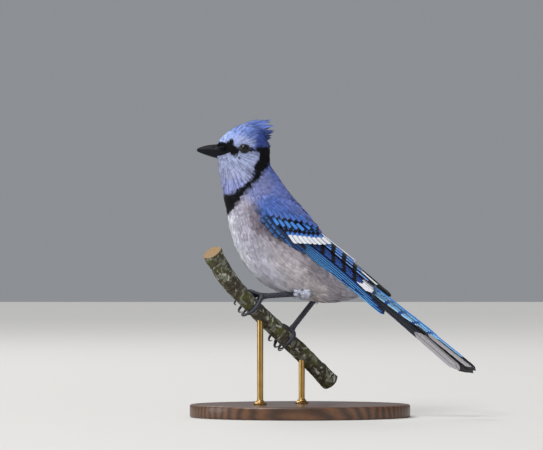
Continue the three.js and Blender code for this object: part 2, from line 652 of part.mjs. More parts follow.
torso = torso.subtract(tailBase(GAP));

addNode("head", headPart.subtract(scalp(GAP)), "blue");
addNode("crest", crest(headPart), "blue");
addNode("neck", neckPart, "grey");
addNode("torso", torso, "grey");
for (const upper of [true, false]) {
  const horn = upper
    ? join([LEFT, RIGHT].map((side) => ball(NOSTRIL.x, side * NOSTRIL.y, NOSTRIL.z, NOSTRIL.radius, 6, 4)))
    : null;
  addNode(upper ? "bill_upper" : "bill_lower", horn ? bill(true).subtract(horn) : bill(false), "black");
}
addNode("eye_left", ball(EYE.x, LEFT * EYE.y, EYE.z, EYE.radius, 14, 9), "black");
addNode("eye_right", ball(EYE.x, RIGHT * EYE.y, EYE.z, EYE.radius, 14, 9), "black");
addNode("wing_left", wing(LEFT), "blue");
addNode("wing_right", wing(RIGHT), "blue");
addNode("tail", tail(), "blue");
for (const [name, leg] of legs) {
  const shank = tarsus(leg);
  const grip = foot(leg).subtract(tarsus(leg, GAP)).subtract(perch(GAP));
  addNode("thigh_" + name, thigh(leg).subtract(tarsus(leg, GAP)), "grey");
  addNode("tarsus_" + name, shank, "skin");
  addNode("foot_" + name, grip, "skin");
}
addNode("perch_branch", perch(), "bark");
addNode("stand_base", base(), "wood");
for (const [name, [x, y]] of Object.entries(ROD_PLACES)) {
  addNode(name, rod(x, y, perchHeightAbove(x, y)).subtract(perch(GAP)), "brass");
}

export default jay;
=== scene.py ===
"""Looks of a life-size museum model of a blue jay, gripping a cut branch over a plain oval base.

Metres, +Z up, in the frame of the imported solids. The bird faces -X, its left side is towards -Y and its
middle plane is y = 0. Sizes in the classes are in millimetres, and MM turns them to metres.
"""
import logging
import math
from contextlib import contextmanager
from dataclasses import dataclass, field
from enum import Enum
from typing import Callable, Iterator, Mapping, Sequence

import bpy
import numpy as np
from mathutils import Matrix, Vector, kdtree, noise
from mathutils.bvhtree import BVHTree


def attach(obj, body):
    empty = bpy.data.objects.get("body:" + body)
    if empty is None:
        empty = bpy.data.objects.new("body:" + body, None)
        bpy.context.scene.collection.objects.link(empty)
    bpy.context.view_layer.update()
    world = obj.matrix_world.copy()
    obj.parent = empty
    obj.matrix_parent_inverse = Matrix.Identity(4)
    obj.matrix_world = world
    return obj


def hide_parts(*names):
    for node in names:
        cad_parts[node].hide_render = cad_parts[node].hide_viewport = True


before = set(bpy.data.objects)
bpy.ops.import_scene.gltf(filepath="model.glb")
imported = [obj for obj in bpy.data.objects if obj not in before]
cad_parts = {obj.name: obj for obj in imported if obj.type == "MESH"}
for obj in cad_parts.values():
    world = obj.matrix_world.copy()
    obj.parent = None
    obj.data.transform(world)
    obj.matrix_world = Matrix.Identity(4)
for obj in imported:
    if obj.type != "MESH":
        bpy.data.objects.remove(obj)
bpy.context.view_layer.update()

LOG = logging.getLogger("blue_jay")
MM = 0.001
LEFT, RIGHT = -1, 1
SIDE_NAMES = {LEFT: "left", RIGHT: "right"}
SEED = 20
Array = np.ndarray
Point = tuple[float, float]
Place = tuple[float, float, float]
Row = tuple[float, ...]
Line = tuple[Point, ...]
Object = bpy.types.Object
Tree = bpy.types.NodeTree
Socket = bpy.types.NodeSocket
Ramp = tuple[Socket, float, float]


def linear(code: str) -> tuple[float, float, float, float]:
    """Turns an sRGB hex colour to linear.

    Args:
        code: the colour, such as "#5a6fb0".

    Returns:
        Red, green, blue and an alpha of 1.
    """
    channels = [int(code[i : i + 2], 16) / 255 for i in (1, 3, 5)]
    flat = [c / 12.92 if c <= 0.04045 else ((c + 0.055) / 1.055) ** 2.4 for c in channels]
    return (*flat, 1.0)


def rgb(code: str) -> Array:
    """A hex colour as three linear numbers."""
    return np.array(linear(code)[:3])


def turns(count: int) -> Array:
    """Evenly spread angles once round."""
    return np.linspace(0, 2 * np.pi, count, endpoint=False)


def smooth_step(low: float, high: float, value: Array) -> Array:
    """Rises smoothly from 0 at low to 1 at high."""
    t = np.clip((value - low) / (high - low), 0, 1)
    return t * t * (3 - 2 * t)


def unit(vectors: Array) -> Array:
    """Vectors of length 1 along the last axis."""
    return vectors / np.maximum(np.linalg.norm(vectors, axis=-1, keepdims=True), 1e-12)


def eased(values: Sequence[float], t: Array | float) -> Array | float:
    """Smooth interpolation through evenly spaced values.

    Args:
        values: the values, the first at t = 0 and the last at t = 1.
        t: where to read.

    Returns:
        The value or values at t.
    """
    v = np.asarray(values, float)
    last = len(v) - 1
    at = np.clip(t, 0, 1) * last
    i = np.minimum(np.floor(at).astype(int), last - 1)
    f = at - i
    p0, p1, p2, p3 = v[np.maximum(i - 1, 0)], v[i], v[i + 1], v[np.minimum(i + 2, last)]
    bend = (2 * p0 - 5 * p1 + 4 * p2 - p3) * f**2 + (3 * p1 - p0 - 3 * p2 + p3) * f**3
    return 0.5 * (2 * p1 + (p2 - p0) * f + bend)


def sloping(start: Point, slope: float, along: Array | float, up: Array | float) -> tuple[Array, Array]:
    """x and z of places along a line that falls backwards by a slope in degrees, and square up from it."""
    cos, sin = math.cos(math.radians(slope)), math.sin(math.radians(slope))
    return start[0] + along * cos + up * sin, start[1] - along * sin + up * cos


def select_only(*objects: Object) -> None:
    """Deselects everything, then selects these objects and makes the first one active."""
    bpy.ops.object.select_all(action="DESELECT")
    for one in objects:
        one.select_set(True)
    bpy.context.view_layer.objects.active = objects[0]


@contextmanager
def editing(target: Object, whole: bool = True) -> Iterator[None]:
    """Opens an object in edit mode, with its whole mesh selected or what was chosen before, and closes it."""
    select_only(target)
    bpy.ops.object.mode_set(mode="EDIT")
    if whole:
        bpy.ops.mesh.select_all(action="SELECT")
    yield
    bpy.ops.object.mode_set(mode="OBJECT")


def named(name: str) -> Object:
    """Names the active object and its mesh."""
    made = bpy.context.object
    made.name = made.data.name = name
    return made


def added(name: str, primitive: Callable, **settings: object) -> Object:
    """Adds a primitive with nothing else selected, and names it."""
    bpy.ops.object.select_all(action="DESELECT")
    primitive(**settings)
    return named(name)


def joined(name: str, *parts: Object) -> Object:
    """Joins objects to one."""
    select_only(*parts)
    bpy.ops.object.join()
    return named(name)


def apply_modifier(target: Object, kind: str, **settings: object) -> None:
    """Adds a modifier to an object and applies it.

    Args:
        target: the object.
        kind: the modifier's type, such as "SUBSURF".
        settings: the modifier's own settings.
    """
    select_only(target)
    modifier = target.modifiers.new(kind.title(), kind)
    for key, value in settings.items():
        setattr(modifier, key, value)
    bpy.ops.object.modifier_apply(modifier=modifier.name)


def settle(target: Object, smooth_angle: float = 40) -> Object:
    """Puts a finished object's place into its mesh and smooths all but its sharp edges."""
    select_only(target)
    bpy.ops.object.transform_apply(location=True, rotation=True, scale=True)
    bpy.ops.object.shade_smooth_by_angle(angle=math.radians(smooth_angle))
    return target


def points_of(target: Object) -> Array:
    """An object's vertices as an array in metres."""
    flat = np.zeros(len(target.data.vertices) * 3, np.float32)
    target.data.vertices.foreach_get("co", flat)
    return flat.reshape(-1, 3).astype(float)


def set_points(target: Object, points: Array) -> None:
    """Moves an object's vertices to these places in metres."""
    target.data.vertices.foreach_set("co", np.asarray(points, np.float32).ravel())
    target.data.update()


def mesh_from(name: str, points: Array, faces: Array) -> Object:
    """Makes an object from arrays, shaded smooth.

    Args:
        name: the object's name.
        points: its vertices, (N, 3), in metres.
        faces: vertex numbers, (M, 3) or (M, 4).

    Returns:
        The new object, linked to the scene.
    """
    mesh = bpy.data.meshes.new(name)
    count, corners = faces.shape
    mesh.vertices.add(len(points))
    mesh.vertices.foreach_set("co", points.astype(np.float32).ravel())
    mesh.loops.add(count * corners)
    mesh.loops.foreach_set("vertex_index", faces.astype(np.int32).ravel())
    mesh.polygons.add(count)
    mesh.polygons.foreach_set("loop_start", np.arange(0, count * corners, corners, dtype=np.int32))
    mesh.polygons.foreach_set("use_smooth", np.full(count, True))
    mesh.update(calc_edges=True)
    made = bpy.data.objects.new(name, mesh)
    bpy.context.scene.collection.objects.link(made)
    return made


def add_uv(target: Object, name: str, corners: Array) -> None:
    """Adds a UV map with one place for each face corner."""
    layer = target.data.uv_layers.new(name=name)
    layer.data.foreach_set("uv", corners.astype(np.float32).ravel())


def add_colour(target: Object, name: str, colours: Array) -> None:
    """Adds a colour attribute with one linear colour for each vertex."""
    layer = target.data.color_attributes.new(name=name, type="FLOAT_COLOR", domain="POINT")
    rgba = np.ones((len(colours), 4), np.float32)
    rgba[:, :3] = colours[:, :3]
    layer.data.foreach_set("color", rgba.ravel())


def add_share(target: Object, name: str, values: Array) -> None:
    """Adds a number attribute with one value for each vertex."""
    layer = target.data.attributes.new(name=name, type="FLOAT", domain="POINT")
    layer.data.foreach_set("value", values.astype(np.float32))


def drawn_out(name: str, rings: Array, levels: int = 1) -> Object:
    """Draws a form out of a disc, ring by ring, with both ends closed.

    Args:
        name: the object's name.
        rings: places of every ring's points in millimetres, (rings, sides, 3), turning one way.
        levels: subdivision levels applied at the end.

    Returns:
        The closed form.
    """
    count, sides, _ = rings.shape
    made = added(name, bpy.ops.mesh.primitive_circle_add, vertices=sides, radius=1, fill_type="NGON")
    with editing(made):
        for _ in range(count - 1):
            bpy.ops.mesh.extrude_region_move(TRANSFORM_OT_translate={"value": (0, 0, 1)})
    set_points(made, rings.reshape(-1, 3) * MM)
    with editing(made):
        bpy.ops.mesh.normals_make_consistent(inside=False)
    if levels:
        apply_modifier(made, "SUBSURF", levels=levels, render_levels=levels)
    return settle(made, 60)


def ringed(centres: Array, radii: Array, sides: int, lead: Sequence[float] = (0, 1, 0)) -> Array:
    """Rings of points square to a path.

    Args:
        centres: the path in millimetres, (rings, 3).
        radii: across and upwards at each ring, (rings, 2).
        sides: points in a ring.
        lead: the direction that the first radius keeps to.

    Returns:
        The rings' points, (rings, sides, 3).
    """
    along = unit(np.gradient(centres, axis=0))
    first = unit(np.array(lead, float) - along * (along @ np.array(lead, float))[:, None])
    second = np.cross(along, first)
    angles = turns(sides)
    across = np.cos(angles)[None, :, None] * first[:, None] * radii[:, 0, None, None]
    upward = np.sin(angles)[None, :, None] * second[:, None] * radii[:, 1, None, None]
    return centres[:, None] + across + upward


def add_node(
    tree: Tree,
    kind: str,
    values: Mapping[int | str, object] | None = None,
    links: Mapping[int | str, Socket] | None = None,
    out: int | str = 0,
    **attributes: object,
) -> Socket:
    """Adds a node with its settings and links.

    Args:
        tree: the material's node tree.
        kind: the node's type without its common start, such as "Bump".
        values: values of its input sockets.
        links: output sockets that feed its inputs.
        out: which of its outputs is wanted.
        attributes: the node's own properties, such as operation.

    Returns:
        The wanted output socket.
    """
    node = tree.nodes.new("ShaderNode" + kind)
    for key, value in attributes.items():
        setattr(node, key, value)
    for key, value in (values or {}).items():
        node.inputs[key].default_value = value
    for key, source in (links or {}).items():
        tree.links.new(source, node.inputs[key])
    return node.outputs[out]


def lay_over(tree: Tree, under: Socket | str, over: str, *ramps: Ramp, easing: str = "LINEAR") -> Socket:
    """Lays a colour over another where values pass from bare to covered.

    Args:
        tree: the material's node tree.
        under: the colour below, as a socket or as a hex colour.
        over: the hex colour on top.
        ramps: a value, where it leaves the lower colour bare, and where it covers it; all of them count.
        easing: how each value passes from one to the other.

    Returns:
        The mixed colour.
    """
    share = None
    for value, bare, covered in ramps:
        ends = {"From Min": min(bare, covered), "From Max": max(bare, covered)}
        ends |= {"To Min": float(bare > covered), "To Max": float(bare < covered)}
        passed = add_node(tree, "MapRange", ends, {"Value": value}, interpolation_type=easing)
        if share is None:
            share = passed
        else:
            share = add_node(tree, "Math", links={0: share, 1: passed}, operation="MULTIPLY")
    values, links = {"Color2": linear(over)}, {"Fac": share}
    if isinstance(under, str):
        values["Color1"] = linear(under)
    else:
        links["Color1"] = under
    return add_node(tree, "MixRGB", values, links)


@dataclass(frozen=True)
class Finish:
    """A finish, built as one material and then shared by its pieces."""

    name: str

    def material(self) -> bpy.types.Material:
        """The finish's material, made on first use."""
        found = bpy.data.materials.get(self.name)
        if found:
            return found
        made = bpy.data.materials.new(self.name)
        made.use_nodes = True
        self.dress(made.node_tree)
        return made

    def dress(self, tree: Tree) -> None:
        """Adds the finish's nodes to a new material's node tree."""
        raise NotImplementedError

    def put_on(self, target: Object) -> None:
        """Makes this the only material of an object."""
        target.data.materials.clear()
        target.data.materials.append(self.material())

    @staticmethod
    def end_in(
        tree: Tree, colour: Socket | str, gloss: Mapping[str, float], height: Socket | None = None,
        bump: Point = (0, 0),
    ) -> None:
        """Gives the material's shader its colour, bump and gloss.

        Args:
            tree: the material's node tree.
            colour: the surface's colour, as a socket or as a hex colour.
            gloss: values of the shader's other sockets.
            height: what raises the surface.
            bump: the bump's strength, and its height in millimetres.
        """
        shader = tree.nodes["Principled BSDF"]
        for key, value in gloss.items():
            shader.inputs[key].default_value = value
        if isinstance(colour, str):
            shader.inputs["Base Color"].default_value = linear(colour)
        else:
            tree.links.new(colour, shader.inputs["Base Color"])
        if height is not None:
            raised = {"Strength": bump[0], "Distance": bump[1] * MM}
            tree.links.new(add_node(tree, "Bump", raised, {"Height": height}), shader.inputs["Normal"])


@dataclass(frozen=True)
class CoatFinish(Finish):
    """Loose keratin barbs of body feathers: matt, with a soft sheen and a faint fine mottle.

    The colour comes from the piece's own colour attribute: the markings, with painted shade in the skin's gaps
    and at the barbs' roots and undersides, so skin and coat carry the same markings.
    """

    roughness: float = 0.7
    sheen: float = 0.04
    mottle_mm: float = 0.9

    def dress(self, tree: Tree) -> None:
        """The markings with their painted shade, mottled finely by noise."""
        markings = add_node(tree, "VertexColor", layer_name="Markings")
        place = add_node(tree, "TexCoord", out="Object")
        fine = {"Scale": 1 / (self.mottle_mm * MM), "Detail": 2.0}
        mottle = add_node(tree, "TexNoise", fine, {"Vector": place})
        faint = {"From Min": 0.3, "From Max": 0.7, "To Min": 0.92, "To Max": 1.07}
        shade = add_node(tree, "MapRange", faint, {"Value": mottle})
        colour = add_node(tree, "VectorMath", links={0: markings, 1: shade}, operation="MULTIPLY")
        gloss = {"Roughness": self.roughness, "Specular IOR Level": 0.12}
        gloss |= {"Sheen Weight": self.sheen, "Sheen Roughness": 0.45}
        self.end_in(tree, colour, gloss, mottle, (0.25, 0.1))


@dataclass(frozen=True)
class VaneFinish(Finish):
    """The closed web of a large feather: keratin, satin, drawn by fine slanting barbs.

    The pattern follows the feather's own Vane map: u runs across it from 0 at its inner to 1 at its outer
    edge, and v is the distance from its tip in decimetres. Lengths are in millimetres from the tip, and places
    across run from -1 at the inner edge to 1 at the outer one. Without bars_from there are no bars, without a
    tip_length no pale tip and without an inner_tip no pale end of the inner web.
    """

    outer: str = "#3868ae"
    inner: str = "#14171f"
    edge: str = "#5c9ad8"
    edge_from: float = 0.55
    shaft: str = "#0f1218"
    bar: str = "#090b10"
    period: float = 6.0
    bar_width: float = 1.2
    bars_from: float | None = None
    tip: str = "#c3cfe6"
    tip_length: float = 0.0
    tip_arch: float = 1.5
    inner_tip: str = ""
    inner_from: float = 0.02
    inner_bars: bool = False
    roughness: float = 0.5
    sheen: float = 0.05
    barb_mm: float = 0.55

    def dress(self, tree: Tree) -> None:
        """Webs, bars and tip, laid one over the other, and the barbs' fine lines."""
        uv = add_node(tree, "UVMap", uv_map="Vane")
        split = add_node(tree, "SeparateXYZ", links={0: uv}).node.outputs
        tint = add_node(tree, "Attribute", out="Fac", attribute_name="Tint")
        across = add_node(tree, "Math", {1: 2.0, 2: -1.0}, {0: split["X"]}, operation="MULTIPLY_ADD")
        off_shaft = add_node(tree, "Math", links={0: across}, operation="ABSOLUTE")
        from_tip = add_node(tree, "Math", {1: 100.0}, {0: split["Y"]}, operation="MULTIPLY")
        waver = add_node(tree, "TexNoise", {"Scale": 60.0, "Detail": 3.0}, {"Vector": uv})
        shift = add_node(tree, "Math", {1: 1.2, 2: -0.6}, {0: waver}, operation="MULTIPLY_ADD")
        stagger = add_node(tree, "Math", {1: 0.5}, {0: tint, 2: shift}, operation="MULTIPLY_ADD")
        place = add_node(tree, "Math", links={0: from_tip, 1: stagger}, operation="ADD")
        slant = add_node(tree, "Math", {1: 2.2}, {0: off_shaft, 2: from_tip}, operation="MULTIPLY_ADD")
        turn = add_node(tree, "Math", {1: 2 * math.pi / self.barb_mm}, {0: slant}, operation="MULTIPLY")
        barbs = add_node(tree, "Math", links={0: turn}, operation="SINE")
        bars = self.bars(tree, place)
        inner = [(self.inner, (across, self.inner_from + 0.06, self.inner_from - 0.06))]
        layers = [(self.edge, (across, self.edge_from, min(self.edge_from + 0.14, 0.98)))]
        layers += inner + bars if self.inner_bars else bars + inner
        if self.tip_length:
            arch = {1: self.tip_arch}
            arched = add_node(tree, "Math", arch, {0: off_shaft, 2: place}, operation="MULTIPLY_ADD")
            layers.append((self.tip, (arched, self.tip_length + 0.35, self.tip_length - 0.35)))
        if self.inner_tip:
            layers.append((self.inner_tip, (across, -0.72, -0.86), (from_tip, 38.0, 30.0)))
        layers.append((self.shaft, (off_shaft, 0.09, 0.03)))
        web = self.outer
        for colour, *ramps in layers:
            web = lay_over(tree, web, colour, *ramps, easing="SMOOTHSTEP")
        faint = add_node(tree, "Math", {1: 0.07, 2: 0.86}, {0: barbs}, operation="MULTIPLY_ADD")
        varied = add_node(tree, "Math", {1: 0.2}, {0: tint, 2: faint}, operation="MULTIPLY_ADD")
        shaded = add_node(tree, "VectorMath", links={0: web, 1: varied}, operation="MULTIPLY")
        gloss = {"Roughness": self.roughness, "Specular IOR Level": 0.35}
        gloss |= {"Sheen Weight": self.sheen, "Sheen Roughness": 0.4}
        self.end_in(tree, shaded, gloss, barbs, (0.3, 0.06))

    def bars(self, tree: Tree, place: Socket) -> list[tuple]:
        """The dark bars as a layer, from their distance above the tip upwards; each feather shifts its own."""
        if self.bars_from is None:
            return []
        shift = add_node(tree, "Attribute", out="Fac", attribute_name="Shift")
        shifted = add_node(tree, "Math", links={0: place, 1: shift}, operation="ADD")
        past = add_node(tree, "Math", {1: self.bars_from}, {0: shifted}, operation="SUBTRACT")
        swing = add_node(tree, "Math", {1: self.period / 2}, {0: past}, operation="PINGPONG")
        half = self.bar_width / 2
        return [(self.bar, (swing, half + 0.2, half - 0.2), (past, -self.bar_width, -half))]


@dataclass(frozen=True)
class ShellFinish(Finish):
    """Smooth horn or bare scaled skin: two dark tones clouded together, with a grain raised a little."""

    colour: str = "#1a1d24"
    second: str = "#2a2f3a"
    grain_mm: float = 1.0
    roughness: float = 0.35
    specular: float = 0.45
    coat: float = 0.0
    raise_mm: float = 0.05

    def dress(self, tree: Tree) -> None:
        """Two tones clouded together, and a bump of the same grain."""
        place = add_node(tree, "TexCoord", out="Object")
        grain = add_node(tree, "TexNoise", {"Scale": 1 / (self.grain_mm * MM), "Detail": 4.0}, {"Vector": place})
        colour = lay_over(tree, self.colour, self.second, (grain, 0.35, 0.68))
        gloss = {"Roughness": self.roughness, "Specular IOR Level": self.specular}
        gloss |= {"Coat Weight": self.coat, "Coat Roughness": 0.04}
        self.end_in(tree, colour, gloss, grain, (0.4, self.raise_mm))


@dataclass(frozen=True)
class BarkFinish(Finish):
    """Thin rough bark, dark brown and matt, with grey-green and whitish crusts of lichen and a little moss."""

    def dress(self, tree: Tree) -> None:
        """Bark, then moss, then two crusts of lichen, each with its own edge, and dark pits over all."""
        place = add_node(tree, "TexCoord", out="Object")
        grains = []
        for size_mm, detail, warp in ((0.9, 5, 0), (2.2, 6, 0.6), (5.0, 8, 0.6), (5.6, 9, 0.9), (11, 4, 0)):
            values = {"Scale": 1 / (size_mm * MM), "Detail": detail, "Distortion": warp}
            grains.append(add_node(tree, "TexNoise", values, {"Vector": place}))
        fine, rough, crust, patch, moss = grains
        colour = "#2b271f"
        for over, ramp in (
            ("#5e584a", (rough, 0.3, 0.7)), ("#56562f", (moss, 0.48, 0.62)), ("#7f8172", (crust, 0.53, 0.62)),
            ("#b4b6ae", (patch, 0.6, 0.64)), ("#2a251d", (fine, 0.56, 0.72)),
        ):
            colour = lay_over(tree, colour, over, ramp)
        height = add_node(tree, "Math", {1: 0.5}, {0: fine, 2: rough}, operation="MULTIPLY_ADD")
        raised = add_node(tree, "Math", {1: 0.6}, {0: patch, 2: height}, operation="MULTIPLY_ADD")
        self.end_in(tree, colour, {"Roughness": 0.9, "Specular IOR Level": 0.2}, raised, (0.8, 0.9))


@dataclass(frozen=True)
class WoodFinish(Finish):
    """Planed and varnished hardwood, or a fresh saw cut where it is matt: long grain with fine pores."""

    early: str = "#6b452a"
    late: str = "#3f2716"
    ring_mm: float = 3.4
    coat: float = 0.3
    roughness: float = 0.42
    stretch: tuple[float, float, float] = (0.12, 1.0, 1.0)

    def dress(self, tree: Tree) -> None:
        """Stretched growth rings and pores."""
        place = add_node(tree, "TexCoord", out="Object")
        long = add_node(tree, "Mapping", {"Scale": self.stretch}, {"Vector": place})
        waves = {"Scale": 0.31 / (self.ring_mm * MM), "Distortion": 6.0, "Detail": 3.0, "Detail Scale": 0.6}
        rings = add_node(tree, "TexWave", waves, {"Vector": long}, out="Fac", bands_direction="Y")
        pores = add_node(tree, "TexNoise", {"Scale": 1 / (0.5 * MM), "Detail": 2.0}, {"Vector": long})
        wood = lay_over(tree, self.early, self.late, (rings, 0, 1))
        shade = add_node(tree, "MapRange", {"From Min": 0.3, "To Min": 0.6, "From Max": 0.5}, {"Value": pores})
        colour = add_node(tree, "VectorMath", links={0: wood, 1: shade}, operation="MULTIPLY")
        gloss = {"Roughness": self.roughness, "Coat Weight": self.coat, "Coat Roughness": 0.15}
        self.end_in(tree, colour, gloss, pores, (0.15, 0.05))


@dataclass(frozen=True)
class BrassFinish(Finish):
    """Turned brass, brushed round and lightly tarnished: warm, with fine lines round the rod."""

    def dress(self, tree: Tree) -> None:
        """Tarnish clouds and fine turning lines."""
        place = add_node(tree, "TexCoord", out="Object")
        tarnish = add_node(tree, "TexNoise", {"Scale": 1 / (6 * MM), "Detail": 4.0}, {"Vector": place})
        colour = lay_over(tree, "#c9a566", "#a07c43", (tarnish, 0, 1))
        flat = add_node(tree, "Mapping", {"Scale": (0.05, 0.05, 1.0)}, {"Vector": place})
        lines = add_node(tree, "TexNoise", {"Scale": 1 / (0.3 * MM), "Detail": 2.0}, {"Vector": flat})
        self.end_in(tree, colour, {"Roughness": 0.28, "Metallic": 1.0}, lines, (0.2, 0.03))


@dataclass(frozen=True)
class PaperFinish(Finish):
    """The studio's seamless paper: matt and even, with the faintest tooth."""

    colour: str = "#dcdad6"

    def dress(self, tree: Tree) -> None:
        """One pale tone with a fine tooth."""
        place = add_node(tree, "TexCoord", out="Object")
        tooth = add_node(tree, "TexNoise", {"Scale": 900.0, "Detail": 2.0}, {"Vector": place})
        self.end_in(tree, self.colour, {"Roughness": 0.9, "Specular IOR Level": 0.1}, tooth, (0.05, 0.1))


@dataclass(frozen=True)
class EyeFinish(Finish):
    """A dark brown iris round a black pupil, under a clear wet cornea that gives a sharp highlight."""

    centre: tuple[float, float, float] = (0.0, 0.0, 0.0)
    pupil_mm: float = 2.3

    def dress(self, tree: Tree) -> None:
        """Iris and pupil by the distance from the eye's axis, with fine spokes."""
        place = add_node(tree, "TexCoord", out="Object")
        off = add_node(tree, "Mapping", {"Location": tuple(-v for v in self.centre)}, {"Vector": place})
        split = add_node(tree, "SeparateXYZ", links={0: off}).node.outputs
        flat = add_node(tree, "CombineXYZ", links={0: split["X"], 1: split["Z"]})
        far = add_node(tree, "VectorMath", links={0: flat}, out="Value", operation="LENGTH")
        spokes = add_node(tree, "TexNoise", {"Scale": 1 / (0.35 * MM), "Detail": 3.0}, {"Vector": off})
        iris = lay_over(tree, "#050201", "#0d0704", (spokes, 0, 1))
        colour = lay_over(tree, iris, "#040405", (far, (self.pupil_mm + 0.08) * MM, (self.pupil_mm - 0.08) * MM))
        gloss = {"Roughness": 0.5, "Specular IOR Level": 0.0, "Coat Weight": 0.7, "Coat Roughness": 0.02}
        self.end_in(tree, colour, gloss)


BAR_BLACK = "#090a0e"
BILL_ROOT = (-58, 207)
TAIL_ROOT = (48.3, 106.2)
FLESH = ("head", "neck", "torso", "thigh_left", "thigh_right")
# Where the horn of the bill reaches back between the feathers of forehead and chin.
GAPE = (
    (-70, 213.4), (-64.6, 213.0), (-61.5, 212.6), (-58.6, 211.2), (-56.6, 208.6), (-55.4, 206.4),
    (-56.6, 205), (-59.6, 203.6), (-63.5, 202.6), (-70, 201.6),
)


@dataclass(frozen=True)
class Tone:
    """A soft zone of one colour, by the places in the side view (x, z) that it spreads from."""

    colour: str
    places: Line
    reach: float = 8.0


@dataclass(frozen=True)
class Patch:
    """A marking with an edge: its outline in the side view, and how softly its edge fades."""

    colour: str
    outline: Line
    soft: float = 0.8


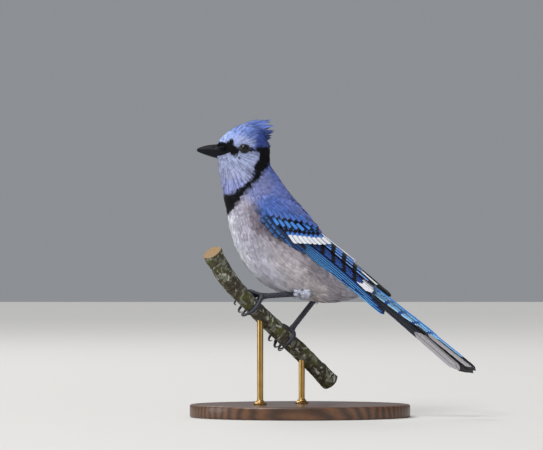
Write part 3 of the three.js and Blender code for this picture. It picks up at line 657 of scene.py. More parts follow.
@dataclass(frozen=True)
class Plumage:
    """The markings of the body feathers, alike on both sides; a few tones add painted shade and painted light."""

    tones: tuple[Tone, ...] = tuple(Tone(*zone) for zone in (
        ("#b0c4fa", ((-62, 217), (-57, 221)), 5), ("#8ba0e2", ((-50, 226), (-42, 228)), 7),
        ("#5f75b6", ((-38, 222), (-30, 229)), 6), ("#2e4187", ((-29, 221), (-31, 215), (-33, 211)), 4),
        ("#a4aed8", ((-47, 216.5), (-42, 215.5), (-37, 212.6)), 4),
        ("#a6b0d4", ((-43, 203), (-50, 199), (-38, 200)), 6),
        ("#a4abce", ((-60, 197), (-53, 189), (-44, 189)), 7), ("#9aa2da", ((-55, 178), (-47, 180)), 6),
        ("#687ccc", ((-20, 200), (-16, 190)), 7), ("#7d84b4", ((-30, 183), (-28, 176)), 7),
        ("#7282c8", ((-12, 178), (-5, 168), (6, 156)), 9), ("#6478bc", ((16, 145), (28, 132)), 9),
        ("#526fba", ((-22, 165), (-12, 159)), 7), ("#4c70b8", ((-26, 158), (-20, 152)), 4),
        ("#aba6b6", ((-46, 164), (-41, 159)), 5),
        # Darker zones along the near wing's front edge: painted shade on the breast where the wing meets it.
        ("#7d727c", ((-38, 160), (-35, 154), (-30, 146), (-25, 140)), 3.5),
        ("#474c68", ((-32, 159), (-28, 151), (-23, 144)), 2.2),
        # Near-white bands along the breast's front edge: the white of the feathers, made brighter as painted
        # light where this edge catches the light.
        ("#eef1ff", ((-55, 152), (-53, 144), (-50, 136)), 4),
        ("#eef1ff", ((-46, 128), (-41, 120), (-35, 112)), 4),
        ("#bab6c6", ((-45, 148), (-40, 138), (-34, 128)), 4.5),
        ("#d4d3e2", ((-30, 120), (-24, 115), (-18, 109)), 5), ("#aea9b3", ((-27, 136), (-20, 128)), 5),
        # The second zone here and the second on the next line: painted shadow of the wing on the flank just under
        # its lower edge, over a slightly brownish grey.
        ("#c3bcc2", ((-14, 122), (-8, 117), (0, 112)), 6), ("#9e949b", ((-18, 136), (-10, 130), (4, 121)), 4),
        ("#c3bbbe", ((0, 104), (10, 101), (18, 98)), 5), ("#928b92", ((12, 114), (20, 108), (31, 99)), 5),
        ("#b0adb8", ((28, 94), (40, 92)), 6), ("#d8d8e4", ((-6, 97), (0, 96)), 4),
        ("#c2c1cc", ((50, 86), (60, 80)), 8), ("#5f78c0", ((42, 118), (52, 108)), 8),
    ))
    patches: tuple[Patch, ...] = (
        # The necklace: broad behind the cheek, narrow down the neck, and widening over the breast.
        Patch(BAR_BLACK, (
            (-32.2, 210.6), (-31.8, 205), (-32.2, 200.5), (-34.2, 196.5), (-36.4, 193.8), (-35.4, 190.5),
            (-36.2, 187), (-38.8, 183.6), (-42.2, 180.6), (-45.6, 178), (-49.6, 175), (-53.6, 173.4),
            (-58, 173.4), (-67, 174.6), (-67, 160.6), (-58, 155.6), (-53.6, 156.6), (-49, 164), (-44.6, 170),
            (-41.6, 173.6), (-37.2, 178), (-32.8, 183), (-29, 188), (-25.4, 193.4), (-23.8, 198),
            (-23.4, 203), (-23.8, 210.5),
        ), 1.1),
        # The lore, from the bill's root up to the forehead and back to the eye.
        Patch(BAR_BLACK, (
            (-70, 212.4), (-64.6, 214.2), (-61.6, 214.9), (-57.6, 214), (-53.4, 216.4), (-50.7, 216.4),
            (-51.4, 212.8), (-49.4, 210.4), (-46.4, 210.4), (-46.2, 207.2), (-48, 204.4), (-51.8, 204),
            (-54.6, 205.4), (-62, 206.4), (-70, 206),
        ), 0.5),
        # The line behind the eye.
        Patch(BAR_BLACK, (
            (-41.5, 209.5), (-38, 208.9), (-34, 209.1), (-30.6, 210.4), (-30.6, 207), (-35, 207), (-41, 206.9),
        ), 0.4),
        # The short line from the gape down the cheek.
        Patch(BAR_BLACK, ((-51.5, 205.4), (-48.5, 203.6), (-45.8, 201.2), (-47, 200.9), (-52, 203.6)), 0.4),
    )

    def colour(self, places: Array) -> Array:
        """The feathers' colour at places on the body, with the painted shade and painted light of some tones.

        Args:
            places: (N, 3) in millimetres.

        Returns:
            Linear colours, (N, 3).
        """
        flat = places[:, [0, 2]]
        total = np.full(len(flat), 1e-9)
        mixed = np.zeros((len(flat), 3))
        for tone in self.tones:
            share = np.zeros(len(flat))
            for place in tone.places:
                gap = ((flat - np.array(place)) ** 2).sum(1)
                share += 1.0 / (1.0 + (gap / tone.reach**2)) ** 3
            mixed += share[:, None] * rgb(tone.colour)
            total += share
        mixed /= total[:, None]
        for patch in self.patches:
            share = smooth_step(-patch.soft, patch.soft, self.inside(flat, patch.outline))[:, None]
            mixed = mixed * (1 - share) + rgb(patch.colour) * share
        return mixed

    def streaks(self, places: Array) -> Array:
        """Light and dark streaks along the feathers, round about 1: strongest on cheek and throat.

        Args:
            places: (N, 3) in millimetres.

        Returns:
            What the colour is multiplied by, (N,).
        """
        x, y, z = places.T
        back, up = x - BILL_ROOT[0], z - BILL_ROOT[1]
        turn, far = np.arctan2(up, back), np.hypot(back, up)
        radial = clouds(np.stack([turn * 24 + 40, far / 10, y / 2.5], axis=1))
        along, across = x * 0.7 - z * 0.7, x * 0.7 + z * 0.7
        lengthwise = clouds(np.stack([across / 1.1, along / 10, y / 1.6], axis=1))
        broad = clouds(places / 9)
        face = smooth_step(170, 178, z) * smooth_step(-30, -35, x)
        on_face = 0.14 - 0.52 * smooth_step(-0.05, 0.3, radial)
        fine = face * on_face + (1 - face) * np.tanh(lengthwise * 2.2) * 0.2
        return np.clip(1 + fine + broad * 0.14, 0.35, 1.6)

    @staticmethod
    def inside(flat: Array, outline: Sequence[Point]) -> Array:
        """How far places in the side view lie inside an outline, and below 0 outside it.

        Args:
            flat: (N, 2) places.
            outline: the outline's corners in turn.

        Returns:
            Distances in millimetres, (N,).
        """
        corners = np.array(outline, float)
        nearest = np.full(len(flat), 1e9)
        odd = np.zeros(len(flat), bool)
        for start, end in zip(corners, np.roll(corners, -1, axis=0)):
            run = end - start
            t = np.clip(((flat - start) @ run) / (run @ run), 0, 1)
            nearest = np.minimum(nearest, np.linalg.norm(flat - start - t[:, None] * run, axis=1))
            crosses = (start[1] > flat[:, 1]) != (end[1] > flat[:, 1])
            at = start[0] + (flat[:, 1] - start[1]) * run[0] / (run[1] if run[1] else 1e-9)
            odd ^= crosses & (flat[:, 0] < at)
        return np.where(odd, nearest, -nearest)


@dataclass(frozen=True)
class Lie:
    """How the body feathers lie near a place in the side view: flow, length, spacing and lift."""

    place: Point
    flow: Point
    length: float
    spacing: float
    lift: float


LIES = tuple(
    Lie(*guide) for guide in (
        ((-64, 211), (0.9, 0.4), 2.2, 0.8, 0.5), ((-61, 217), (0.68, 0.73), 3.0, 1.0, 0.7),
        ((-50, 226), (0.93, 0.36), 5.5, 1.3, 1.0), ((-40, 227), (1.0, 0.2), 7.0, 1.5, 1.2),
        ((-30, 221), (1.0, 0.05), 8.0, 1.5, 1.3), ((-56, 210), (1.0, 0.25), 2.0, 0.8, 0.4),
        ((-47, 215), (0.95, 0.3), 2.6, 0.85, 0.5), ((-37, 212), (0.98, -0.2), 3.2, 1.0, 0.6),
        ((-43, 203), (0.9, -0.4), 2.8, 0.9, 0.5), ((-51, 201), (0.7, -0.7), 3.0, 0.9, 0.5),
        ((-34, 203), (0.6, -0.8), 4.5, 1.2, 0.9), ((-62, 200), (0.42, -0.9), 3.4, 1.0, 0.7),
        ((-54, 191), (0.3, -0.95), 5.5, 1.3, 1.1), ((-42, 190), (0.55, -0.84), 5.0, 1.3, 0.9),
        ((-26, 196), (0.25, -0.97), 7.0, 1.6, 1.2), ((-54, 176), (0.1, -1.0), 8.0, 1.7, 1.5),
        ((-38, 180), (0.3, -0.95), 8.0, 1.8, 1.4), ((-20, 184), (0.35, -0.94), 8.5, 1.8, 1.4),
        ((-8, 172), (0.6, -0.8), 9.0, 1.9, 1.4), ((-58, 156), (0.05, -1.0), 9.5, 1.9, 1.8),
        ((-40, 160), (0.3, -0.95), 9.5, 1.9, 1.7), ((-22, 162), (0.72, -0.7), 6.0, 1.6, 1.0),
        ((8, 155), (0.68, -0.73), 9.0, 1.9, 1.4), ((24, 138), (0.72, -0.7), 9.5, 2.0, 1.4),
        ((-52, 138), (0.2, -0.98), 11.0, 2.0, 2.0), ((-32, 138), (0.55, -0.83), 11.5, 2.1, 1.9),
        ((-42, 116), (0.55, -0.83), 12.0, 2.1, 2.2), ((-12, 120), (0.8, -0.6), 13.0, 2.2, 2.0),
        ((-18, 98), (0.96, -0.25), 12.0, 2.1, 2.0), ((4, 105), (0.85, -0.52), 12.0, 2.1, 1.9),
        ((20, 92), (0.9, -0.42), 13.0, 2.2, 2.6), ((30, 90), (0.9, -0.42), 13.0, 2.2, 2.8),
        ((44, 92), (0.8, -0.6), 14.0, 2.2, 2.2), ((44, 116), (0.78, -0.62), 11.0, 2.0, 1.3),
    )
)


def down_back(x: Array, z: Array) -> tuple[Array, Array]:
    """How far places in the side view lie down the line of back and tail, and how far square up from it."""
    return x * 0.77 - z * 0.64, x * 0.64 + z * 0.77


def clouds(places: Array) -> Array:
    """Soft random clouds about one unit across, from -1 to 1, at each place."""
    return np.array([noise.noise(Vector(place)) for place in places])


def lie_at(places: Array) -> tuple[Array, Array, Array, Array]:
    """How the feathers lie at places on the body.

    Args:
        places: (N, 3) in millimetres.

    Returns:
        Flow as (N, 3) directions, and length, spacing and lift as (N,) in millimetres.
    """
    flat = places[:, [0, 2]]
    spots = np.array([guide.place for guide in LIES])
    gaps = ((flat[:, None, :] - spots[None]) ** 2).sum(2)
    share = 1.0 / (gaps + 12.0) ** 2
    share /= share.sum(1, keepdims=True)
    flow = share @ np.array([unit(np.array(guide.flow)) for guide in LIES])
    sizes = share @ np.array([(guide.length, guide.spacing, guide.lift) for guide in LIES])
    full = np.zeros((len(flat), 3))
    full[:, 0], full[:, 2] = flow[:, 0], flow[:, 1]
    return unit(full), sizes[:, 0], sizes[:, 1], sizes[:, 2]


@dataclass(frozen=True)
class WingPlan:
    """The folded wing's own plan: a runs from the shoulder along it, b towards the back."""

    side: int
    slope: float
    shoulder: Point = (-35.1, 165.4)
    widest: float = 2.4
    lower_reach: float = 19.0
    along: Row = (-6, 8, 25, 45, 62, 78, 95, 113, 134)
    half_width: Row = (21.5, 26.2, 27.8, 26.6, 23.8, 20.4, 16.6, 13.6, 11.6)
    upper_reach: Row = (24, 21, 23.1, 17.8, 15.4, 13.8, 12.2, 10.6, 9.6)
    lower_edge: Row = (-1.5, -6.6, -9.4, -6.9, -4.6, -2.9, -1.9, -1.5, -1.2)
    upper_edge: Row = (4, 18.5, 23.6, 19.6, 17.6, 16, 14.4, 12.6, 2)
    front_b: Row = (-8, 1.4, 3.8, 6.4, 9.1, 12.1, 14.3, 16.6, 18.1)
    front_a: Row = (7, 10.5, 14.5, 19.5, 24, 29, 34.5, 40.5, 46)
    covers_to: float = 120.0

    def read(self, values: Sequence[float], a: Array) -> Array:
        """A value given along the wing, eased over its kinks."""
        return sum(np.interp(a + step, self.along, values) for step in (-7, -3.5, 0, 3.5, 7)) / 5

    def skin(self, a: Array, b: Array) -> Array:
        """The wing's skin at plan places, (N, 3) in millimetres."""
        reach = np.where(b > self.widest, self.read(self.upper_reach, a), self.lower_reach)
        off = np.minimum(np.abs(b - self.widest) / reach, 0.995)
        y = self.side * self.read(self.half_width, a) * np.sqrt(1 - off * off)
        x, z = sloping(self.shoulder, self.slope, a, b)
        return np.stack([x, y, z], axis=-1)

    def place(self, a: Array, b: Array, height: Array) -> Array:
        """Places at a height over the wing's skin; the skin's slope is read just short of the back line."""
        step = 0.6
        level = np.minimum(b, self.widest + self.read(self.upper_reach, a) * 0.93 - step)
        along = self.skin(a + step, level) - self.skin(a - step, level)
        across = self.skin(a, level + step) - self.skin(a, level - step)
        normal = unit(np.cross(along, across))
        normal *= np.where(normal[..., 1:2] * self.side < 0, -1, 1)
        return self.skin(a, b) + normal * np.asarray(height)[..., None]

    def plan_of(self, places: Array) -> tuple[Array, Array]:
        """The plan coordinates a and b of places in the side view."""
        cos, sin = math.cos(math.radians(self.slope)), math.sin(math.radians(self.slope))
        x, z = places[:, 0] - self.shoulder[0], places[:, 2] - self.shoulder[1]
        return x * cos - z * sin, x * sin + z * cos

    def covered(self, places: Array, normals: Array) -> Array:
        """How far places of the skin lie under the wing's large feathers, in millimetres from their edge."""
        a, b = self.plan_of(places)
        front = a - np.interp(b, self.front_b, self.front_a)
        low = b - self.read(self.lower_edge, a) + 0.6
        high = self.read(self.upper_edge, a) - np.interp(a, [30, 60, 85, 95], [4.0, 3.0, 2.5, -2]) - b
        depth = np.minimum.reduce([low, high, front, self.covers_to - a])
        out, facing = places[:, 1] * self.side, normals[:, 1] * self.side
        outside = (out > 0.55 * self.read(self.half_width, a)) & (facing > 0.1)
        outside |= (a > 90) & (b > 7)
        return np.where(outside, depth, -1.0)


WINGS = {LEFT: WingPlan(LEFT, 40.0), RIGHT: WingPlan(RIGHT, 38.4)}


@dataclass
class Skin:
    """One closed skin under all feathers, made from the solids of flesh and sunk by the coat's depth."""

    voxel: float = 1.3
    closing: float = 1.5
    whole: tuple[str, ...] = FLESH
    wing_cut: float = 58.0
    under_wing: float = 2.2
    under_coat: float = 0.85
    hollows: tuple[tuple[float, float, float, float], ...] = ((-22.5, 207, 9.0, 3.2), (-21, 196, 6.0, 1.4))
    gape_half: float = 3.2

    def flesh_copy(self, node: str) -> Object:
        """A plain copy of a solid, with its doubled points merged."""
        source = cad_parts[node]
        copy = bpy.data.objects.new("flesh_" + node, source.data.copy())
        bpy.context.scene.collection.objects.link(copy)
        with editing(copy):
            bpy.ops.mesh.remove_doubles(threshold=1e-5)
        return copy

    def cut_copy(self, node: str, *planes: tuple[Sequence[float], Sequence[float]]) -> Object:
        """A copy of a solid, cut off past planes.

        Args:
            node: the solid's name.
            planes: a point in millimetres of each plane, and its normal towards what is cut away.

        Returns:
            The rest of the solid, closed over the cuts.
        """
        copy = self.flesh_copy(node)
        for point, outwards in planes:
            at = [v * MM for v in point]
            with editing(copy):
                bpy.ops.mesh.bisect(plane_co=at, plane_no=outwards, use_fill=True, clear_outer=True)
        return copy

    def build(self) -> Object:
        """Joins, remeshes, closes and sinks the flesh, and unwraps it."""
        parts = [self.flesh_copy(node) for node in self.whole]
        parts.append(self.cut_copy("crest", ((-40, 0, 229.6), (0.42, 0, 0.91)), ((-27, 0, 220), (1, 0, 0.1))))
        parts.append(self.cut_copy("tail", ((60.5, 0, 96), (0.77, 0, -0.64))))
        for side, plan in WINGS.items():
            x, z = sloping(plan.shoulder, plan.slope, self.wing_cut, 0)
            cos, minus_sin = sloping((0, 0), plan.slope, 1, 0)
            parts.append(self.cut_copy("wing_" + SIDE_NAMES[side], ((x, 0, z), (cos, 0, minus_sin))))
        skin = joined("skin", *parts)
        voxel = {"mode": "VOXEL", "voxel_size": self.voxel * MM}
        apply_modifier(skin, "REMESH", **voxel)
        apply_modifier(skin, "DISPLACE", strength=self.closing * MM, mid_level=0.0)
        apply_modifier(skin, "REMESH", **voxel)
        apply_modifier(skin, "SMOOTH", factor=0.5, iterations=6)
        apply_modifier(skin, "DISPLACE", strength=-self.closing * MM, mid_level=0.0)
        apply_modifier(skin, "SMOOTH", factor=0.5, iterations=3)
        self.keep_outer_shell(skin)
        self.sink(skin)
        with editing(skin):
            bpy.ops.uv.smart_project(angle_limit=math.radians(66), island_margin=0.004)
        skin.data.uv_layers[0].name = "OFBake"
        apply_modifier(skin, "TRIANGULATE")
        settle(skin, 180)
        LOG.info("skin: %d triangles", len(skin.data.polygons))
        return skin

    @staticmethod
    def keep_outer_shell(skin: Object) -> None:
        """Drops the small closed scraps that remeshing leaves inside."""
        with editing(skin, whole=False):
            bpy.ops.mesh.separate(type="LOOSE")
        shells = sorted(bpy.context.selected_objects, key=lambda one: len(one.data.vertices))
        for scrap in [one for one in shells if one is not shells[-1]]:
            bpy.data.objects.remove(scrap)
        if shells[-1] is not skin:
            raise RuntimeError("the skin's name went to a scrap")

    def sink(self, skin: Object) -> None:
        """Moves the skin inwards by the coat's depth, least on the face."""
        places = points_of(skin) / MM
        normals = np.zeros(len(places) * 3, np.float32)
        skin.data.vertex_normals.foreach_get("vector", normals)
        normals = normals.reshape(-1, 3)
        covered = np.maximum.reduce([plan.covered(places, normals) for plan in WINGS.values()])
        depth = lie_at(places)[3] * self.under_coat + self.under_wing * smooth_step(0, 5, covered)
        for x, z, reach, deep in self.hollows:
            gap = (places[:, 0] - x) ** 2 + (places[:, 2] - z) ** 2
            depth += deep * np.exp(-gap / reach**2) * (1 - np.abs(normals[:, 1]))
        places = places - normals * depth[:, None]
        notch = smooth_step(-0.6, 1.2, Plumage.inside(places[:, [0, 2]], GAPE))
        room = np.abs(places[:, 1])
        drawn_in = np.minimum(room, room + (self.gape_half - room) * notch)
        places[:, 1] = np.sign(places[:, 1]) * drawn_in
        set_points(skin, places * MM)


@dataclass(frozen=True)
class Tufts:
    """How a body feather is made: a fan of thin closed barbs from one root."""

    barbs: int = 7
    overlap: float = 2.5
    fan: float = 0.9
    thickness: float = 0.3
    ragged: float = 0.16
    mid: float = 0.45
    gather: float = 1.0
    streaked: bool = True


# A barb is a thin closed spike of seven points: left, right and under at its root and at its middle, and its tip.
# These are its faces, its painted shade at each point (dark at the root and underneath, a touch of painted light
# at the tip) and where it lies round the feather's place on the unwrap.
BARB_FACES = np.array(
    [(0, 1, 2), (0, 4, 1), (0, 3, 4), (1, 5, 2), (1, 4, 5), (2, 3, 0), (2, 5, 3), (3, 6, 4), (4, 6, 5), (5, 6, 3)]
)
BARB_PAINTED_SHADE = np.array([0.45, 0.45, 0.4, 0.95, 0.95, 0.8, 1.05])
BARB_UV = np.array([(-1, -1), (1, -1), (0, -1), (-1, 0), (1, 0), (0, 0), (0, 1)]) * 0.0005


@dataclass
class Coat:
    """Body feathers over the skin, each lying along the body and overlapping the next."""

    skin: Object
    plumage: Plumage
    finish: CoatFinish
    candidates: int = 230000
    rng: np.random.Generator = field(default_factory=lambda: np.random.default_rng(SEED))

    def __post_init__(self) -> None:
        """Reads the skin's shape once."""
        mesh = self.skin.data
        self.points = points_of(self.skin) / MM
        corners = np.zeros(len(mesh.polygons) * 3, np.int32)
        mesh.loops.foreach_get("vertex_index", corners)
        self.faces = corners.reshape(-1, 3)
        uv = np.zeros(len(corners) * 2, np.float32)
        mesh.uv_layers["OFBake"].data.foreach_get("uv", uv)
        self.face_uv = uv.reshape(-1, 3, 2)
        normals = np.zeros(len(mesh.vertices) * 3, np.float32)
        mesh.vertex_normals.foreach_get("vector", normals)
        self.normals = normals.reshape(-1, 3).astype(float)
        self.tree = BVHTree.FromPolygons(self.points.tolist(), self.faces.tolist())

    def roots(self) -> tuple[Array, Array, Array]:
        """Picks evenly spread roots, as close as the feathers' spacing there.

        Returns:
            Places, normals and places on the skin's unwrap.
        """
        corners = self.points[self.faces]
        first, second = corners[:, 1] - corners[:, 0], corners[:, 2] - corners[:, 0]
        area = np.linalg.norm(np.cross(first, second), axis=1)
        spacing = lie_at(corners.mean(1))[2]
        weight = area / spacing**2
        face = self.rng.choice(len(area), self.candidates, p=weight / weight.sum())
        first, second = self.rng.random((2, self.candidates))
        flip = first + second > 1
        first, second = np.where(flip, 1 - first, first), np.where(flip, 1 - second, second)
        share = np.stack([1 - first - second, first, second], axis=1)[:, :, None]
        places = (corners[face] * share).sum(1)
        normals = unit((self.normals[self.faces[face]] * share).sum(1))
        spots = (self.face_uv[face] * share).sum(1)
        free = self.bare(places, normals)
        places, normals, spots = places[~free], normals[~free], spots[~free]
        spacing = lie_at(places)[2]
        near = kdtree.KDTree(len(places))
        for i, place in enumerate(places):
            near.insert(place, i)
        near.balance()
        taken = np.zeros(len(places), bool)
        kept = []
        for i, place in enumerate(places):
            if taken[i]:
                continue
            kept.append(i)
            for _, j, _ in near.find_range(place, spacing[i]):
                taken[j] = True
        kept = np.array(kept)
        return places[kept], normals[kept], spots[kept]

    def bare(self, places: Array, normals: Array) -> Array:
        """Where no body feather grows: eyes, bill, and what the wings' and tail's own feathers cover."""
        x, y, z = places.T
        eye = (np.hypot(x - Eye.place[0], z - Eye.place[1]) < Eye.clear) & (np.abs(y) > 6)
        bill = Plumage.inside(places[:, [0, 2]], GAPE) > 0
        covered = np.maximum.reduce([plan.covered(places, normals) for plan in WINGS.values()]) > 0
        along, rise = down_back(x - TAIL_ROOT[0], z - TAIL_ROOT[1])
        # On top the tail's own feathers start at its root, and below its soft coverts run on under it.
        tail = along > np.where(rise > -2, 3, 20)
        return eye | bill | covered | tail

    def spot_near(self, place: Array) -> Array:
        """The nearest place on the skin's unwrap."""
        _, _, face, _ = self.tree.find_nearest(place)
        return self.face_uv[face].mean(0)

    def grow(self) -> list[Object]:
        """Grows the whole coat, in pieces by the part of the body."""
        places, normals, spots = self.roots()
        pieces = []
        for name, chosen in self.shares(places):
            for side in (LEFT, RIGHT):
                part = chosen[(places[chosen, 1] < 0) == (side == LEFT)]
                form = Tufts(barbs=5, overlap=2.6, ragged=0.2) if name == "face" else Tufts()
                label = f"coat_{name}_{SIDE_NAMES[side]}"
                pieces.append(self.tufts(label, places[part], normals[part], spots[part], form))
        return pieces

    @staticmethod
    def shares(places: Array) -> list[tuple[str, Array]]:
        """Which roots belong to each part of the body; each root goes to the first part that it fits."""
        x, _, z = places.T
        along, rise = down_back(x, z)
        free, found = np.ones(len(x), bool), []
        for name, mask in (
            ("face", (z > 196) & (x < -31)), ("nape", z > 196), ("neck", z > 168), ("back", rise > 112),
            ("breast", along < -108), ("belly", along < -72), ("rear", free),
        ):
            found.append((name, np.nonzero(free & mask)[0]))
            free = free & ~mask
        return found

    def follow(self, start: Array, step: Array) -> tuple[Array, Array]:
        """Places and normals of the skin a step along from given places."""
        ends, normals = np.empty_like(start), np.empty_like(start)
        for i, target in enumerate(start + step):
            hit, normal, _, _ = self.tree.find_nearest(target)
            ends[i], normals[i] = hit, normal
        return ends, normals

    def tufts(self, name: str, roots: Array, normals: Array, spots: Array, form: Tufts) -> Object:
        """Builds the feathers of one piece as one joined mesh.

        Args:
            name: the piece's name.
            roots: their roots on the skin.
            normals: the skin's normals there.
            spots: the roots' places on the skin's unwrap.
            form: how each feather is made.

        Returns:
            The piece, dressed with its markings and painted shade.
        """
        flow, length, spacing, lift = lie_at(roots)
        flow = unit(flow + self.rng.normal(0, 0.07, flow.shape))
        lie = unit(flow - normals * (flow * normals).sum(1, keepdims=True))
        length = length * self.rng.uniform(0.85, 1.12, len(roots))
        lift = lift * self.rng.uniform(0.75, 1.15, len(roots))
        middle, middle_normal = self.follow(roots, lie * (length * form.mid)[:, None])
        end, end_normal = self.follow(middle, lie * (length * (1 - form.mid))[:, None])
        marks = self.plumage.colour(roots * 0.25 + end * 0.75)
        marks *= self.rng.normal(1, 0.07, (len(roots), 1))
        middle = middle + middle_normal * (lift * 0.7)[:, None]
        spine = np.stack([roots - normals * 0.3, middle, end + end_normal * lift[:, None]], axis=1)
        out = np.stack([normals, middle_normal, end_normal], axis=1)
        return self.fan_mesh(name, spine, out, spacing * form.overlap, marks, spots, form)

    def loose(
        self, name: str, spine: Sequence, normals: Sequence, width: float, marks: Array, form: Tufts
    ) -> Object:
        """Builds feathers that stand clear of the coat, on the unwrap of the skin next to their roots.

        Args:
            name: the piece's name.
            spine: root, middle and tip of each feather.
            normals: which way is out at each.
            width: every feather's width.
            marks: each feather's linear colour.
            form: how each feather is made.

        Returns:
            The joined mesh.
        """
        spine = np.array(spine, float)
        spots = np.array([self.spot_near(root) for root in spine[:, 0]])
        normals, widths = np.array(normals, float), np.full(len(spine), width)
        return self.fan_mesh(name, spine, normals, widths, marks, spots, form)

    def fan_mesh(
        self, name: str, spine: Array, normals: Array, width: Array, marks: Array, spots: Array, form: Tufts
    ) -> Object:
        """Spreads barbs over feather spines and joins them as one mesh.

        Args:
            name: the piece's name.
            spine: root, middle and tip of each feather, (N, 3, 3).
            normals: which way is out at each, (N, 3, 3).
            width: each feather's width.
            marks: each feather's linear colour.
            spots: each feather's place on the skin's unwrap.
            form: how each feather is made.

        Returns:
            The joined mesh, with its normals, its markings with painted shade and its OFBake map.
        """
        count, barbs = len(spine), form.barbs
        along = unit(spine[:, 2] - spine[:, 0])
        side = unit(np.cross(normals, along[:, None, :]))
        turn = np.linspace(-1, 1, barbs)[None, :] + self.rng.uniform(-0.1, 0.1, (count, barbs))
        reach = 1 - 0.26 * turn**2 - self.rng.uniform(0, form.ragged, (count, barbs))
        half = (width * form.fan / 2)[:, None]
        offset = turn * half
        root = spine[:, 0, None] + side[:, 0, None] * (offset * 0.35)[:, :, None]
        mid = spine[:, 1, None] + side[:, 1, None] * (offset * (0.85 if form.gather == 1 else 1))[:, :, None]
        to_tip = spine[:, 2, None] - spine[:, 1, None]
        swung = side[:, 2, None] * offset[:, :, None] * form.gather
        tip = spine[:, 1, None] + to_tip * reach[:, :, None] + swung
        blade = (width / barbs * 0.62)[:, None, None]
        down = -normals[:, :, None, :] * (blade * form.thickness * 2)[:, None]
        left = side[:, :, None, :] * blade[:, None]
        points = np.empty((count, barbs, 7, 3))
        for ring, centre in enumerate((root, mid)):
            points[:, :, ring * 3] = centre - left[:, ring]
            points[:, :, ring * 3 + 1] = centre + left[:, ring]
            points[:, :, ring * 3 + 2] = centre + down[:, ring]
        points[:, :, 6] = tip
        faces = (np.arange(count * barbs)[:, None, None] * 7 + BARB_FACES[None]).reshape(-1, 3)
        made = mesh_from(name, points.reshape(-1, 3) * MM, faces)
        tone = marks[:, None, None, :] * self.rng.normal(1, 0.08, (count, barbs, 1, 1))
        if form.streaked:
            streaks = self.plumage.streaks(points[:, :, 3:].mean(2).reshape(-1, 3))
            tone = tone * streaks.reshape(count, barbs, 1, 1)
        # Each barb's colour is multiplied by its painted shade: dark at the root and underneath, a little painted
        # light at the tip.
        add_colour(made, "Markings", np.clip(tone * BARB_PAINTED_SHADE[None, None, :, None], 0, 1).reshape(-1, 3))
        self.soften(made, points, normals, side)
        fan = np.stack([turn * 0.001, np.zeros_like(turn)], axis=-1)[:, :, None, :]
        uv = spots[:, None, None, :] + fan + BARB_UV[None, None]
        add_uv(made, "OFBake", uv.reshape(-1, 2)[faces.ravel()])
        self.finish.put_on(made)
        LOG.info("%s: %d feathers, %d triangles", name, count, len(faces))
        return made

    @staticmethod
    def soften(made: Object, points: Array, normals: Array, side: Array) -> None:
        """Shades barbs mostly as the body under them, so that they melt together as real ones do."""
        out = np.empty_like(points)
        tilt = 0.45
        for ring in (0, 1):
            out[:, :, ring * 3] = (normals[:, ring] - side[:, ring] * tilt)[:, None]
            out[:, :, ring * 3 + 1] = (normals[:, ring] + side[:, ring] * tilt)[:, None]
            out[:, :, ring * 3 + 2] = -normals[:, ring][:, None]
        out[:, :, 6] = normals[:, 2][:, None]
        made.data.normals_split_custom_set_from_vertices(unit(out).reshape(-1, 3).tolist())


@dataclass(frozen=True)
class Vane:
    """One large feather: its shaft in its own space, its two webs and how thick it is.

    root and tip are (along, across, height) of the shaft; outer is the web on its exposed side, which is
    towards lower across where toward is -1. shift moves its bars towards the tip.
    """

    root: Place
    tip: Place
    outer: float
    inner: float
    bow: float = 0.0
    toward: int = -1
    lean: float = 0.3
    camber: float = 0.25
    thickness: float = 0.28
    narrow_root: float = 0.45
    round_tip: float = 1.0
    shift: float = 0.0


